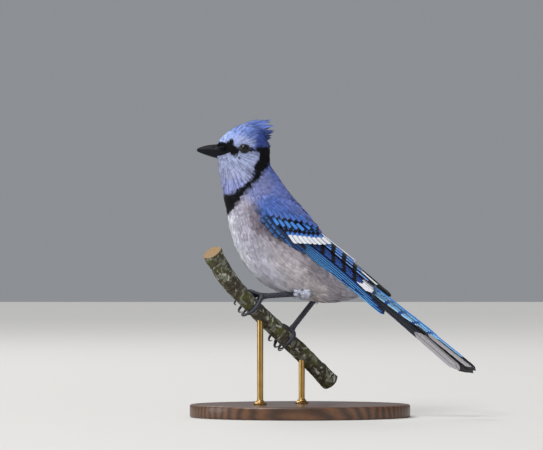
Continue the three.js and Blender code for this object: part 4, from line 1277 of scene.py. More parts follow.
@dataclass
class VaneSet:
    """Large feathers of one kind, built as one joined mesh of closed thin vanes."""

    name: str
    finish: Finish
    under: Finish
    place: Callable[[Array, Array, Array], Array]
    rows: int = 26
    columns: int = 8
    vanes: list[Vane] = field(default_factory=list)

    def shape(self, vane: Vane, rng: np.random.Generator) -> tuple[Array, Array, Array, Array]:
        """One feather's grid.

        Args:
            vane: the feather.
            rng: the source of its small irregularities.

        Returns:
            Upper and lower points, place across from -1 to 1, and distance from the tip, over the grid.
        """
        root, tip = np.array(vane.root, float), np.array(vane.tip, float)
        length = float(np.hypot(*(tip - root)[:2]))
        # The grid's rows crowd towards the tip, where the outline is round.
        s = 1 - (1 - np.linspace(0, 1, self.rows + 1)) ** 1.35
        q = np.linspace(-1, 1, self.columns + 1)
        from_tip = (1 - s) * length
        full = (vane.outer + vane.inner) / 2
        widening = vane.narrow_root + (1 - vane.narrow_root) * smooth_step(0, 0.45, s)
        rounding = np.sqrt(np.clip(1 - (1 - from_tip / (full * 1.5 * vane.round_tip)).clip(0) ** 2, 0, 1))
        width = widening * np.maximum(rounding, 0.03)
        web = np.where(q < 0, vane.inner, vane.outer)[None, :]
        half = self.columns // 2
        edge = 1 + rng.uniform(-0.05, 0.03, (self.rows + 1, 2))[:, [0] * half + [1] * (half + 1)]
        off = vane.toward * q[None, :] * web * width[:, None] * edge
        run = (tip - root)[:2] / length
        bowed = vane.bow * np.sin(np.pi * s)
        sweep = np.abs(q)[None, :] ** 1.5 * full * 0.35 * (1 - rounding)[:, None]
        along = root[0] + (run[0] * length * s)[:, None] - run[1] * off - run[0] * sweep
        across = root[1] + (run[1] * length * s + bowed)[:, None] + run[0] * off - run[1] * sweep
        height = (root[2] + (tip[2] - root[2]) * s)[:, None] - vane.lean * off
        height = height + vane.camber * (1 - q[None, :] ** 2) + 0.12 * np.exp(-((q[None, :] / 0.12) ** 2))
        thin = vane.thickness * (1 - 0.55 * np.abs(q[None, :]) ** 2) * (1 - 0.5 * s[:, None])
        upper, lower = self.place(along, across, height), self.place(along, across, height - thin)
        return upper, lower, *np.broadcast_arrays(q[None, :], from_tip[:, None])

    def build(self) -> Object:
        """Joins the set's feathers into one mesh with its Vane and OFBake maps."""
        rng = np.random.default_rng(SEED + len(self.name))
        shape = (self.rows + 1, self.columns + 1)
        grid = np.arange(shape[0] * shape[1]).reshape(shape)
        inside = np.zeros(shape, bool)
        inside[1:-1, 1:-1] = True
        under = grid.copy()
        under[inside] = grid.size + np.arange(inside.sum())
        top, bottom = self.quads(grid), self.quads(under)[:, ::-1]
        size, count = grid.size + int(inside.sum()), len(self.vanes)
        points, faces, vane_uv, bake_uv, tints = [], [], [], [], []
        for i, vane in enumerate(self.vanes):
            upper, lower, q, from_tip = self.shape(vane, rng)
            turn = -1 if self.turned_in(upper, lower) else 1
            above, below = top[:, ::turn], bottom[:, ::turn]
            points.append(np.concatenate([upper.reshape(-1, 3), lower[inside]]))
            faces.append(np.concatenate([above, below]) + i * size)
            across, up = (q + 1) / 2, 0.01 + from_tip / from_tip.max() * 0.48
            maps = (across, from_tip / 100), ((i + 0.1 + 0.8 * across) / count, up)
            own, cell = (np.stack(pair, axis=-1) for pair in maps)
            own, cell = (np.concatenate([flat.reshape(-1, 2), flat[inside]]) for flat in (own, cell))
            vane_uv.append(own[np.concatenate([above, below])])
            bake_uv.append(np.concatenate([cell[above], cell[below] + np.array([0, 0.5])]))
            tints.append(rng.uniform(0, 1))
        made = mesh_from(self.name, np.concatenate(points) * MM, np.concatenate(faces))
        add_uv(made, "OFBake", np.concatenate(bake_uv).reshape(-1, 2))
        add_uv(made, "Vane", np.concatenate(vane_uv).reshape(-1, 2))
        add_share(made, "Tint", np.repeat(tints, size))
        add_share(made, "Shift", np.repeat([vane.shift for vane in self.vanes], size))
        made.data.materials.append(self.finish.material())
        made.data.materials.append(self.under.material())
        kinds = np.tile(np.repeat([0, 1], [len(top), len(bottom)]), count)
        made.data.polygons.foreach_set("material_index", kinds.astype(np.int32))
        settle(made, 60)
        LOG.info("%s: %d feathers, %d faces", self.name, len(self.vanes), len(made.data.polygons))
        return made

    @staticmethod
    def quads(grid: Array) -> Array:
        """The faces between a grid's points."""
        return np.stack([grid[:-1, :-1], grid[:-1, 1:], grid[1:, 1:], grid[1:, :-1]], axis=-1).reshape(-1, 4)

    @staticmethod
    def turned_in(upper: Array, lower: Array) -> bool:
        """Whether the grid's order would turn the feather's faces inwards."""
        i, j = upper.shape[0] // 2, upper.shape[1] // 2
        normal = np.cross(upper[i, j + 1] - upper[i, j], upper[i + 1, j] - upper[i, j])
        return float(normal @ (upper[i, j] - lower[i, j])) < 0


def spread(line: Sequence[Point], count: int) -> list[tuple[float, float]]:
    """Evenly spread places along a line of two or more points."""
    points = np.array(line, float)
    far = np.concatenate([[0], np.cumsum(np.linalg.norm(np.diff(points, axis=0), axis=1))])
    at = np.linspace(0, far[-1], count)
    return [(float(np.interp(d, far, points[:, 0])), float(np.interp(d, far, points[:, 1]))) for d in at]


UNDER_WEB = VaneFinish(
    "satin_grey_keratin_underside", outer="#5a5d68", inner="#4a4d57", edge="#6b6e78", shaft="#8b8d94",
    roughness=0.6,
)
# The bars that secondaries and tertials share across the folded wing.
IN_LINE = {"edge_from": 0.72, "period": 10.8, "bar_width": 4.2, "bars_from": 17.4, "inner": "#0e1119"}
WING_FINISHES = {
    "primaries": VaneFinish(
        "primary_keratin_blue_edged", outer="#003478", edge="#68bcfa", edge_from=0.76, inner="#0d1420",
        inner_from=0.1, roughness=0.45,
    ),
    "secondaries": VaneFinish(
        "secondary_keratin_blue_barred", outer="#041448", edge="#4a80ea", tip_length=11.0, tip="#f4f4fa",
        tip_arch=0.0, **IN_LINE,
    ),
    "tertials": VaneFinish(
        "tertial_keratin_barred", outer="#4482e6", edge="#a4ccff", tip_length=1.2, tip="#e6ecf8", tip_arch=0.8,
        inner_tip="#eef2fa", **IN_LINE,
    ),
    "greater_coverts": VaneFinish(
        "covert_keratin_white_tipped", outer="#2c5fc0", edge="#4a86d8", edge_from=0.3, period=20.0, bar_width=2.8,
        bars_from=13.6, tip_length=8.6, tip="#f2f5fc", tip_arch=-0.8, inner="#0e1119", inner_from=-0.1,
    ),
    "primary_coverts": VaneFinish(
        "covert_keratin_navy", outer="#173870", edge="#24508e", edge_from=0.4, inner="#0d1017", inner_from=-0.1
    ),
    "alula": VaneFinish(
        "alula_keratin_navy", outer="#2a5a9a", edge="#3a70b4", edge_from=0.5, period=5.2, bar_width=1.0,
        bars_from=3.2, inner="#1a2f55", inner_from=-0.1,
    ),
    "median_coverts": VaneFinish(
        "covert_keratin_bright_blue", outer="#4688da", edge="#2f66bc", edge_from=0.72, period=9.4, bar_width=2.3,
        bars_from=1.2, inner="#0c0f16",
    ),
    "innermost": VaneFinish(
        "tertial_keratin_black_white_edged", outer="#0c0e14", edge="#f4f6fa", edge_from=0.0, inner="#0c0e14"
    ),
    "over_rump": VaneFinish("tertial_keratin_black", outer="#0a0b10", edge="#12141a", inner="#0a0b10"),
    "lesser_coverts": VaneFinish(
        "covert_keratin_soft_blue", outer="#4668b6", edge="#3f60ae", shaft="#3558a4", period=20.0, bar_width=2.0,
        bars_from=0.9, inner="#2b4484", inner_from=-0.7,
    ),
}


@dataclass
class Wing:
    """The large feathers of one folded wing, tier over tier."""

    plan: WingPlan
    primary_tips: Line = ((112, 0.9), (122, 0.3), (129, -0.5), (132, -0.6), (130, 0.6), (125, 2.0), (118, 3.6))

    @staticmethod
    def row(
        line: Sequence[Point], count: int, back: float, falls: Point, heights: Point, webs: Point, **form: float
    ) -> list[Vane]:
        """A row of coverts whose tips lie along a line.

        Args:
            line: the tips' line in the wing's plan.
            count: how many feathers.
            back: how far each root lies behind its tip.
            falls: how much each root lies above its tip, for the first and the last.
            heights: the heights of roots and tips.
            webs: the outer and the inner web's width.
            form: other fields of the feathers.

        Returns:
            The feathers.
        """
        return [
            Vane((tip[0] - back, tip[1] + fall, heights[0]), (*tip, heights[1]), *webs, **form)
            for fall, tip in zip(np.linspace(*falls, count), spread(line, count))
        ]

    @staticmethod
    def barred(root: Point, tip: Point, heights: Point, webs: Point, bow: float) -> Vane:
        """A barred feather; its bars fall in line with its neighbours' across the folded wing."""
        shift = 111 - 0.85 * (tip[1] - 9.3) - tip[0] + 0.8 * math.sin(5 * tip[1])
        shape = {"bow": bow, "narrow_root": 0.75, "round_tip": 0.7, "shift": shift}
        return Vane((*root, heights[0]), (*tip, heights[1]), *webs, **shape)

    def tiers(self) -> dict[str, list[Vane]]:
        """Every tier's feathers, from the deepest tier to the top one."""
        primaries = [
            Vane(
                (44, -4.9 + 1.45 * i, -3.7 + 0.06 * i), (*tip, -2.0), 2.1, 2.8, bow=0.2 + 0.22 * i,
                narrow_root=0.8, round_tip=1.8,
            )
            for i, tip in enumerate(self.primary_tips)
        ]
        secondaries = [
            self.barred((42, root), tip, (-3.4, -1.6), (1.35, 2.4), bow)
            for root, tip, bow in zip(
                np.linspace(5.8, 11.8, 5), spread(((110.5, 5.8), (114.8, 7.9), (112.8, 10.6)), 5),
                np.linspace(1.7, 0.6, 5)
            )
        ]
        tertials = [
            self.barred(root, tip, (-2.6, 0.5), (1.6, 1.3), 0.4)
            for root, tip in zip(
                spread(((41, 13.4), (36, 16.6)), 3), spread(((106, 12.0), (97, 13.9), (88, 15.5)), 3)
            )
        ]
        greater = self.row(
            ((44.6, -1.6), (47.9, 1.2), (53.8, 5.6), (60.2, 10.2), (65.0, 14.8)), 8, 25, (6, 2.4), (-1.9, 0.0),
            (2.3, 1.5), narrow_root=0.65, round_tip=1.25,
        )
        primary_coverts = [
            Vane((27, root, -2.2), (*tip, -1.1), 1.6, 2.4, narrow_root=0.6, round_tip=1.3)
            for root, tip in zip(np.linspace(-6, -1.6, 4), ((43, -6.6), (48, -5.6), (52, -4.2), (53, -1.9)))
        ]
        alula = [
            Vane((*root, -1.2), (*tip, high), half, half + 0.3, narrow_root=0.75, round_tip=1.2, shift=shift)
            for root, tip, high, half, shift in (
                ((10, -4.4), (31.5, -7.4), 0.1, 1.7, 2.0), ((12, -1.4), (33, -4.2), 0.3, 1.7, 0.0),
                ((24, -2.9), (43.6, -5.2), 0.5, 1.5, -6.0),
            )
        ]
        median = self.row(
            ((26, 0.6), (32.5, 3.3), (36.5, 5.8), (43.5, 9.7), (46, 12.7), (50.5, 16.4)), 7, 19, (5, 1.6),
            (-1.2, 0.85), (2.5, 1.3), narrow_root=0.65, round_tip=0.6, lean=0.22,
        )
        lesser = self.row(
            ((17.5, 2.4), (26, 6.2), (29.5, 9), (38.5, 13.6), (49, 17.0)), 9, 8, (2, 1.0), (-0.2, 1.35),
            (2.1, 1.3), narrow_root=0.7, round_tip=0.65, lean=0.2,
        )
        return {
            "primaries": primaries, "secondaries": secondaries, "tertials": tertials,
            "primary_coverts": primary_coverts, "greater_coverts": greater, "alula": alula,
            "median_coverts": median, "lesser_coverts": lesser,
        }

    def innermost(self) -> dict[str, list[Vane]]:
        """The white edge along the back line, and the dark feather that lies on top over the rump."""
        shape = {"lean": 0.1, "narrow_root": 0.6, "round_tip": 1.6}
        if self.plan.side == LEFT:
            return {
                "innermost": [
                    Vane((54, 17.1, -0.8), (88, 16.3, 1.0), 0.6, 0.2, **shape),
                    Vane((85, 15.0, -0.6), (113, 12.6, 1.4), 0.9, 0.3, **shape),
                ],
                "over_rump": [Vane((64, 14.0, -1.2), (112, 11.3, 0.9), 1.1, 1.4, **shape)],
            }
        return {
            "innermost": [Vane((58, 15.6, -2.4), (113.6, 10.2, -0.8), 1.2, 1.2, **shape)],
            "over_rump": [Vane((66, 13.4, -1.6), (128, 9.8, 0.2), 1.8, 2.0, **shape)],
        }

    def build(self) -> list[Object]:
        """Builds each tier as one piece."""
        long = ("primaries", "secondaries", "tertials", "innermost", "over_rump")

        def lowered(a: Array, b: Array, height: Array) -> Array:
            """Places on the plan; the far wing's feathers end a little short of the back line."""
            drop = 2.2 * smooth_step(30, 70, a) if self.plan.side == RIGHT else 0
            return self.plan.place(a, b - drop, height)

        top = self.innermost()
        return [
            VaneSet(
                f"{kind}_{SIDE_NAMES[self.plan.side]}", WING_FINISHES[kind],
                WING_FINISHES[kind] if kind in top else UNDER_WEB, self.plan.place if kind in top else lowered,
                rows=44 if kind in long else 20, vanes=vanes,
            ).build()
            for kind, vanes in (self.tiers() | top).items()
        ]


DARK_UNDER = VaneFinish(
    "tail_keratin_dark_underside", outer="#14171d", edge="#1c2027", inner="#0f1115", shaft="#2a2e36"
)


@dataclass
class Tail:
    """Twelve tail feathers, the middle pair on top, their outer webs rolled down over the edge."""

    root: Point = TAIL_ROOT
    slope: float = 39.6
    roll: float = 26.0
    length: float = 113.4
    short: Row = (0, 2.0, 3.2, 5.4, 9.6, 13.0)
    root_across: Point = (0.9, 4.6)
    tip_across: Point = (2.9, 9.8)
    sunk: float = 8.0
    layer: float = 0.6
    middle: VaneFinish = VaneFinish(
        "tail_keratin_blue_barred", outer="#4a80c8", edge="#7cb0e4", edge_from=0.5, inner="#4476be", period=6.2,
        bar_width=1.3, bars_from=5.0, inner_bars=True,
    )
    sides: VaneFinish = VaneFinish(
        "tail_keratin_white_tipped", outer="#5f9ad8", edge="#86bdec", edge_from=0.3, inner="#1b202b", period=6.2,
        bar_width=1.2, bars_from=20.0, tip_length=15.0, tip="#dfe5f0", tip_arch=2.0,
    )
    under: VaneFinish = VaneFinish(
        "tail_keratin_grey_underside", outer="#2c323e", edge="#3a4150", inner="#262b35", shaft="#5b5f68",
        tip_length=44.0, tip="#c9c7cd", tip_arch=5.0, roughness=0.6,
    )
    edge: VaneFinish = VaneFinish(
        "tail_keratin_light_blue_barred", outer="#58a2e4", edge="#a8d8fa", edge_from=0.4, inner="#3f84cc",
        shaft="#8cc4f0", bar="#2450a0", period=13.0, bar_width=3.0, bars_from=9.0,
    )

    def place(self, u: Array, v: Array, w: Array) -> Array:
        """Places on the tail: u along it, v across its curved top, w over it."""
        fold = np.interp(u, [0, 40, 113], [4.2, 8.5, 16.0])
        flat = np.interp(u, [0, 40, 113], [2.0, 4.6, 6.0])
        past = np.maximum(np.abs(v) - flat, 0)
        turn = np.minimum(past / fold, 1.45)
        side = np.sign(v) * (np.minimum(np.abs(v), flat) + np.sin(turn) * fold)
        rise = -(1 - np.cos(turn)) * fold
        side, rise = side + np.sign(v) * np.sin(turn) * w, rise + np.cos(turn) * w
        roll = math.radians(self.roll)
        across = side * math.cos(roll) + rise * math.sin(roll)
        up = rise * math.cos(roll) - side * math.sin(roll)
        x, z = sloping(self.root, self.slope, u, up)
        return np.stack([x, across, z], axis=-1)

    def place_edge(self, u: Array, down: Array, w: Array) -> Array:
        """Places on the left feathers' outer webs, rolled over the edge: u along them, w outwards."""
        up, rim = (np.interp(u, [0, 12, 60, 113], row) for row in ((2.6, 3.0, 3.9, 4.7), (3.4, 4.6, 9.4, 11.4)))
        x, z = sloping(self.root, self.slope, u, up - down)
        return np.stack([x, -rim - 0.8 * np.sin(np.clip(down / 5, 0, 1) * np.pi) - w, z], axis=-1)

    def feather(self, pair: int, side: int) -> Vane:
        """One feather of a pair, counted from the middle."""
        share, left = pair / 5, side == LEFT
        start, end = (low + (high - low) * share for low, high in (self.root_across, self.tip_across))
        height = self.layer * (2.5 - pair + (0.25 if left else -0.25))
        short = self.short[pair] * (0.5 if left else 1)
        return Vane(
            (-self.sunk, side * start, height * 0.5), (self.length - short, side * end, height),
            5.3 - share * 1.6, 5.6 + share * 0.8, toward=side, lean=0.0, camber=0.15, thickness=0.3,
            narrow_root=0.3 + 0.4 * share, round_tip=0.9,
        )

    def build(self) -> list[Object]:
        """Builds the middle pair, the other ten feathers and the edge rolled over towards the left."""
        groups = {
            "tail_middle": (self.middle, DARK_UNDER, [0]),
            "tail_inner": (self.sides, DARK_UNDER, [1, 2, 3]),
            "tail_outer": (self.sides, self.under, [4, 5]),
        }
        made = [
            VaneSet(
                name, finish, under, self.place, rows=60, columns=12,
                vanes=[self.feather(pair, side) for pair in pairs for side in (LEFT, RIGHT)],
            ).build()
            for name, (finish, under, pairs) in groups.items()
        ]
        rolled = [
            Vane(
                (-6, down, -0.45 * i), (end, fallen, 0.2 - 0.45 * i), web, web, toward=1, lean=0.0, camber=0.1,
                narrow_root=0.8, round_tip=5.0, shift=76 - end - 1.5 * i,
            )
            for i, (end, down, fallen, web) in enumerate(
                ((98, 0.5, 0.2, 0.7), (76, 1.6, 0.6, 1.9), (58, 4.0, 1.9, 2.2))
            )
        ]
        edge = VaneSet("tail_rolled_edge", self.edge, self.under, self.place_edge, rows=60, vanes=rolled)
        return [*made, edge.build()]


@dataclass
class Crest:
    """The half raised crest: narrow plumes fanned over the crown, each a bundle of barbs drawn to a point."""

    coat: Coat
    roots: Line = ((-50, 226.2), (-45, 227), (-41, 226.4), (-37, 224), (-34, 220.8), (-31.6, 216.8), (-30, 211.6))
    tips: Line = (
        (-32, 232.6), (-22.6, 232.8), (-18.2, 228.6), (-20.8, 225.4), (-18.6, 221.8), (-22.6, 216.6),
        (-24.6, 209.6),
    )
    half: Row = (1.6, 3.2, 4.6, 5.4, 6.0, 6.4, 6.4)
    steps: int = 19
    locks: int = 5
    across: Row = (-1, -0.6, -0.2, 0.2, 0.6, 1)

    def build(self) -> Object:
        """Builds the plumes as one piece."""
        rng = np.random.default_rng(SEED + 5)
        spine, normals = [], []
        for s in np.linspace(0, 1, self.steps):
            drawn = s - 0.85 * math.sin(2 * math.pi * self.locks * s) / (2 * math.pi * self.locks)
            (x0, z0), (x1, z1) = [
                (float(eased([p[0] for p in row], at)), float(eased([p[1] for p in row], at)))
                for row, at in ((self.roots, s), (self.tips, drawn))
            ]
            lock = 0.09 * (1 - math.cos(2 * math.pi * self.locks * s))
            half = float(eased(self.half, s))
            for q in self.across:
                reach = 1.06 - lock * rng.uniform(0.6, 1.2) - 0.06 * q * q
                root = np.array([x0, q * half, z0 - 1.2 * q * q - 0.6])
                drawn_in = q * half * rng.uniform(0.25, 0.5)
                tip = np.array([x0 + (x1 - x0) * reach, drawn_in, z0 + (z1 - z0) * reach])
                up = unit(np.array([-(z1 - z0), 0, x1 - x0]))
                out = unit(up * math.sqrt(1 - (0.96 * q) ** 2) + np.array([0, 0.96 * q, 0]))
                middle = root * 0.5 + tip * 0.5 + out * 0.7 + np.array([0, q * half * 0.12, 0])
                spine.append([root, middle, tip])
                normals.append([out] * 3)
        spine = np.array(spine, float)
        middle = spine[:, 1] * 0.5 + spine[:, 2] * 0.5
        marks = self.coat.plumage.colour(middle) * rng.normal(1, 0.3, (len(spine), 1)).clip(0.4, 1.5)
        form = Tufts(barbs=9, fan=0.7, ragged=0.2, gather=0.5, streaked=False)
        return self.coat.loose("crest_plumes", spine, normals, 3.2, marks, form)


@dataclass
class Eye:
    """An eyeball with its iris and pupil under a wet cornea, and the bare lids round it."""

    side: int
    place: Point = (-43.4, 209.1)
    across: float = 10.3
    radius: float = 4.2
    clear: float = 4.1
    lid_out: float = 12.85
    lid_radius: float = 3.3

    def build(self) -> tuple[Object, Object]:
        """Builds the eyeball and its lids."""
        name = SIDE_NAMES[self.side]
        x, z = self.place
        centre = Vector((x, self.side * self.across, z)) * MM
        ball = added(
            f"eyeball_{name}", bpy.ops.mesh.primitive_uv_sphere_add, segments=48, ring_count=32,
            radius=self.radius * MM, location=centre, rotation=(math.pi / 2, 0, 0),
        )
        settle(ball, 180)
        places = points_of(ball)
        off = places - np.array(centre)
        front = off[:, 1] * self.side / (self.radius * MM)
        bulge = smooth_step(0.72, 1.0, front) * 0.06 * MM
        set_points(ball, places + np.array([0, self.side, 0]) * bulge[:, None])
        EyeFinish(f"wet_cornea_over_iris_{name}", centre=tuple(centre)).put_on(ball)
        return ball, self.lids(name)

    def lids(self, name: str) -> Object:
        """A rounded rim of bare skin with fine scallops, a little taller than wide."""
        section = turns(10)
        x, z = self.place
        rings = []
        for turn in turns(56):
            wave = 0.05 * math.sin(14 * turn)
            radial = self.lid_radius + 0.1 + 0.6 * np.cos(section) + wave
            out = self.lid_out + 0.42 * np.sin(section) - 0.25 * np.cos(section) * 1.6 + wave
            corner = 0.5 * abs(math.cos(turn)) ** 6
            across, up = math.cos(turn) * (radial + corner), math.sin(turn) * radial * 0.95
            rings.append(np.stack([x + across, out * self.side, z + up], axis=-1))
        grid = np.array(rings)
        ids = np.arange(grid.shape[0] * grid.shape[1]).reshape(grid.shape[:2])
        after, beside = np.roll(ids, -1, 0), np.roll(ids, -1, 1)
        faces = np.stack([ids, beside, np.roll(after, -1, 1), after], axis=-1).reshape(-1, 4)
        made = mesh_from(f"eyelids_{name}", grid.reshape(-1, 3) * MM, faces)
        with editing(made):
            bpy.ops.mesh.normals_make_consistent(inside=False)
        ShellFinish("bare_lid_skin", colour="#101117", second="#2b2e38", grain_mm=0.5, roughness=0.5).put_on(made)
        return settle(made, 180)


@dataclass
class Bill:
    """The stout closed bill: two halves with a sharp cutting edge, and a bristled root."""

    stations: Row = (-80.4, -79.3, -77.0, -73.8, -70.2, -66.4, -62.6, -59.0, -55.6)
    mouth: Row = (208.1, 208.05, 207.9, 207.7, 207.4, 207.1, 206.8, 206.5, 206.2)
    above: Row = (0.8, 1.7, 2.8, 4.0, 4.9, 5.6, 6.0, 5.6, 4.2)
    below: Row = (0.5, 1.2, 2.1, 3.1, 4.0, 4.8, 5.0, 4.2, 2.8)
    half: Row = (0.6, 1.2, 2.0, 2.8, 3.4, 4.0, 4.5, 4.9, 5.2)
    gap: float = 0.12
    horn: ShellFinish = ShellFinish(
        "dark_horn", colour="#0a0b0f", second="#14171f", grain_mm=2.2, roughness=0.48, specular=0.15,
        raise_mm=0.04,
    )

    def half_bill(self, upper: bool) -> Object:
        """One half, with a keel along its far side and a flat, slightly drawn in cutting face."""
        sides, rings = 28, 40
        t = np.linspace(0, 1, rings) ** 1.3
        x, mouth = eased(self.stations, t), eased(self.mouth, t)
        far = eased(self.above if upper else self.below, t)
        half = eased(self.half, t)
        angles = turns(sides)
        cos, sin = np.cos(angles), np.sin(angles)
        away = np.maximum(cos, 0)
        flare = np.sign(sin) * np.abs(sin) ** 0.85
        keel = 1 - 0.16 * away**6
        y = half[:, None] * flare[None, :] * keel[None, :] * (1 - 0.12 * away[None, :] ** 2)
        lip = np.where(cos < 0, cos * 0.12, 0)[None, :] * np.minimum(half[:, None], 1)
        rise = far[:, None] * (away**0.9)[None, :] + lip
        sign = 1 if upper else -1
        z = mouth[:, None] + sign * (rise + self.gap)
        rings_at = np.stack([np.broadcast_to(x[:, None], y.shape), y, z], axis=-1)
        made = drawn_out("bill_upper_horn" if upper else "bill_lower_horn", rings_at, levels=1)
        if upper:
            self.open_nostrils(made)
        self.horn.put_on(made)
        return made

    @staticmethod
    def open_nostrils(made: Object) -> None:
        """Presses an oval nostril into each side under the bristles."""
        places = points_of(made) / MM
        for side in (LEFT, RIGHT):
            gap = (places - np.array([-66.4, side * 3.5, 210.3])) / np.array([1.5, 1.4, 0.75])
            depth = np.exp(-(gap**2).sum(1) * 1.3) * 0.8
            places[:, 1] -= side * depth
        set_points(made, places * MM)

    def build(self) -> tuple[Object, Object]:
        """Builds both halves."""
        return self.half_bill(True), self.half_bill(False)


@dataclass
class Bristles:
    """Stiff black bristles over the nostrils and fine hairs at the gape; some are coloured pale blue-grey as a
    painted highlight on the tuft.
    """

    coat: Coat
    count: int = 150
    dark: str = "#0b0c12"
    # The pale colour and its share: bristles coloured blue-grey as a painted highlight on the black tuft.
    pale: str = "#5a6484"
    painted_highlight_share: float = 0.12

    def build(self) -> Object:
        """Builds the bristles as bundles of barbs that lie forwards along the bill."""
        rng = np.random.default_rng(SEED + 9)
        spine, normals = [], []
        for i in range(self.count):
            # Each root lies between the gape (rise 0) and the top of the bill (rise 1).
            side = LEFT if i % 2 else RIGHT
            rise = rng.uniform(0, 1)
            x0 = -57.2 - 5.2 * rise + rng.uniform(-0.6, 0.9)
            z0 = 208.9 + 4.3 * rise + rng.uniform(-0.4, 0.4)
            half = 5.1 - 3.9 * rise**1.5
            out = unit(np.array([0, side * (1 - 0.75 * rise), 0.25 + 0.75 * rise]))
            root = np.array([x0, side * half, z0]) - out * 0.4
            length = rng.uniform(3.4, 6.4) * (1 - 0.35 * rise)
            tip = root + np.array([-length, -side * 0.1 * length, -0.16 * length]) + out * 0.5
            spine.append([root, (root + tip) / 2 + out * 0.5, tip])
            normals.append([out] * 3)
        # A share of the bristles takes the pale colour: a painted highlight on the black tuft.
        pale = rng.random(len(spine)) < self.painted_highlight_share
        marks = np.where(pale[:, None], rgb(self.pale), rgb(self.dark))
        form = Tufts(barbs=4, fan=0.7, streaked=False)
        return self.coat.loose("nasal_bristles", spine, normals, 1.3, marks, form)


@dataclass
class HeelTuft:
    """The pale fluffy feathers that end the leg's feathering round the heel."""

    coat: Coat
    side: int
    heel: Place
    ankle: Place
    colour: str = "#d2d5e6"
    count: int = 110
    outwards: float = 5.4

    def build(self) -> Object:
        """Builds the tuft as a sleeve of short soft feathers round the top of the shank."""
        rng = np.random.default_rng(SEED + 13 + self.side)
        heel, along = np.array(self.heel, float), unit(np.array(self.ankle) - np.array(self.heel))
        heel[1] += self.side * self.outwards
        across = unit(np.cross(along, (0, 0, 1.0)))
        rise = np.cross(across, along)
        spine, normals = [], []
        for _ in range(self.count):
            angle = rng.uniform(0, 2 * math.pi)
            out = across * math.cos(angle) + rise * math.sin(angle)
            back = rng.uniform(-2.5, 8.5)
            root = heel - along * back + out * (2.3 + 0.1 * max(back, 0))
            length = rng.uniform(4.5, 7.0)
            tip = root + along * length + out * rng.uniform(0.2, 1.4)
            spine.append([root, (root + tip) / 2 + out * 0.9, tip])
            normals.append([out] * 3)
        marks = rgb(self.colour) * rng.normal(0.92, 0.1, (len(spine), 1))
        form = Tufts(ragged=0.3, streaked=False)
        return self.coat.loose(f"heel_tuft_{SIDE_NAMES[self.side]}", spine, normals, 2.4, marks, form)


@dataclass
class Perch:
    """The short cut length of rough, lichened branch."""

    line: tuple[Place, ...] = (
        (-67.9, -36.4, 128.7), (-64.7, -33, 122.5), (-56.2, -25, 108.4), (-46.5, -17.5, 96.7),
        (-34.3, -8.8, 83.9), (-22.1, 0, 71.8), (-6.2, 10.4, 56.6), (9, 21, 41.6), (24.2, 32, 25.7),
    )
    radii: Row = (7.4, 7.2, 6.9, 6.6, 6.3, 6.6, 6.4, 6.5, 6.9)
    lump: float = 0.35
    rough: float = 0.26
    plate: float = 0.9

    def centre(self, t: float) -> Array:
        """The point of the branch's middle at a share t of its length, on a centripetal spline."""
        points = np.array(self.line, float)
        last = len(points) - 1
        at = min(max(t, 0), 1) * last
        i = min(int(at), last - 1)
        f = at - i
        p1, p2 = points[i], points[i + 1]
        p0 = points[i - 1] if i else 2 * points[0] - points[1]
        p3 = points[i + 2] if i + 2 <= last else 2 * points[last] - points[last - 1]
        d0, d1, d2 = (math.sqrt(float(np.linalg.norm(q - p))) for p, q in ((p0, p1), (p1, p2), (p2, p3)))
        t1 = ((p1 - p0) / d0 - (p2 - p0) / (d0 + d1) + (p2 - p1) / d1) * d1
        t2 = ((p2 - p1) / d1 - (p3 - p1) / (d1 + d2) + (p3 - p2) / d2) * d1
        return p1 + t1 * f + (3 * (p2 - p1) - 2 * t1 - t2) * f**2 + (2 * (p1 - p2) + t1 + t2) * f**3

    def frame(self, t: float) -> tuple[Array, Array, Array, Array]:
        """Centre, direction, up and side of the branch at a share t."""
        step = 1e-4
        low, high = max(t - step, 0), min(t + step, 1)
        along = unit(self.centre(high) - self.centre(low))
        up = unit(np.array([0, 0, 1.0]) - along * along[2])
        return self.centre(t), along, up, np.cross(along, up)

    def radius(self, t: float) -> float:
        """The bark's mean radius at a share t."""
        return float(eased(self.radii, t))

    def build(self) -> Object:
        """Draws the branch out ring by ring, roughens its bark and dresses bark and cut ends."""
        rings, sides = 130, 56
        grid = np.empty((rings, sides, 3))
        for i, t in enumerate(np.linspace(0, 1, rings)):
            centre, along, up, side = self.frame(t)
            for j, angle in enumerate(turns(sides)):
                out = up * math.cos(angle) + side * math.sin(angle)
                lump = self.lump * math.sin(3 * angle + 9 * t) * math.sin(17 * t + angle)
                spot = centre + out * self.radius(t)
                rough = noise.fractal(Vector(spot) * 0.32, 1.0, 2.1, 4) * self.rough
                plate = max(0.0, noise.noise(Vector(spot) * 0.17) - 0.12) * self.plate
                grid[i, j] = centre + out * (self.radius(t) + lump + rough + plate - 0.1)
        made = drawn_out("branch", grid, levels=0)
        BarkFinish("lichened_bark").put_on(made)
        sawn = WoodFinish(
            "sawn_pale_wood", early="#a98d66", late="#8a6d48", ring_mm=1.2, coat=0.0, roughness=0.85,
            stretch=(1, 1, 1),
        )
        made.data.materials.append(sawn.material())
        for face in made.data.polygons:
            if len(face.vertices) > 4:
                face.material_index = 1
        return made


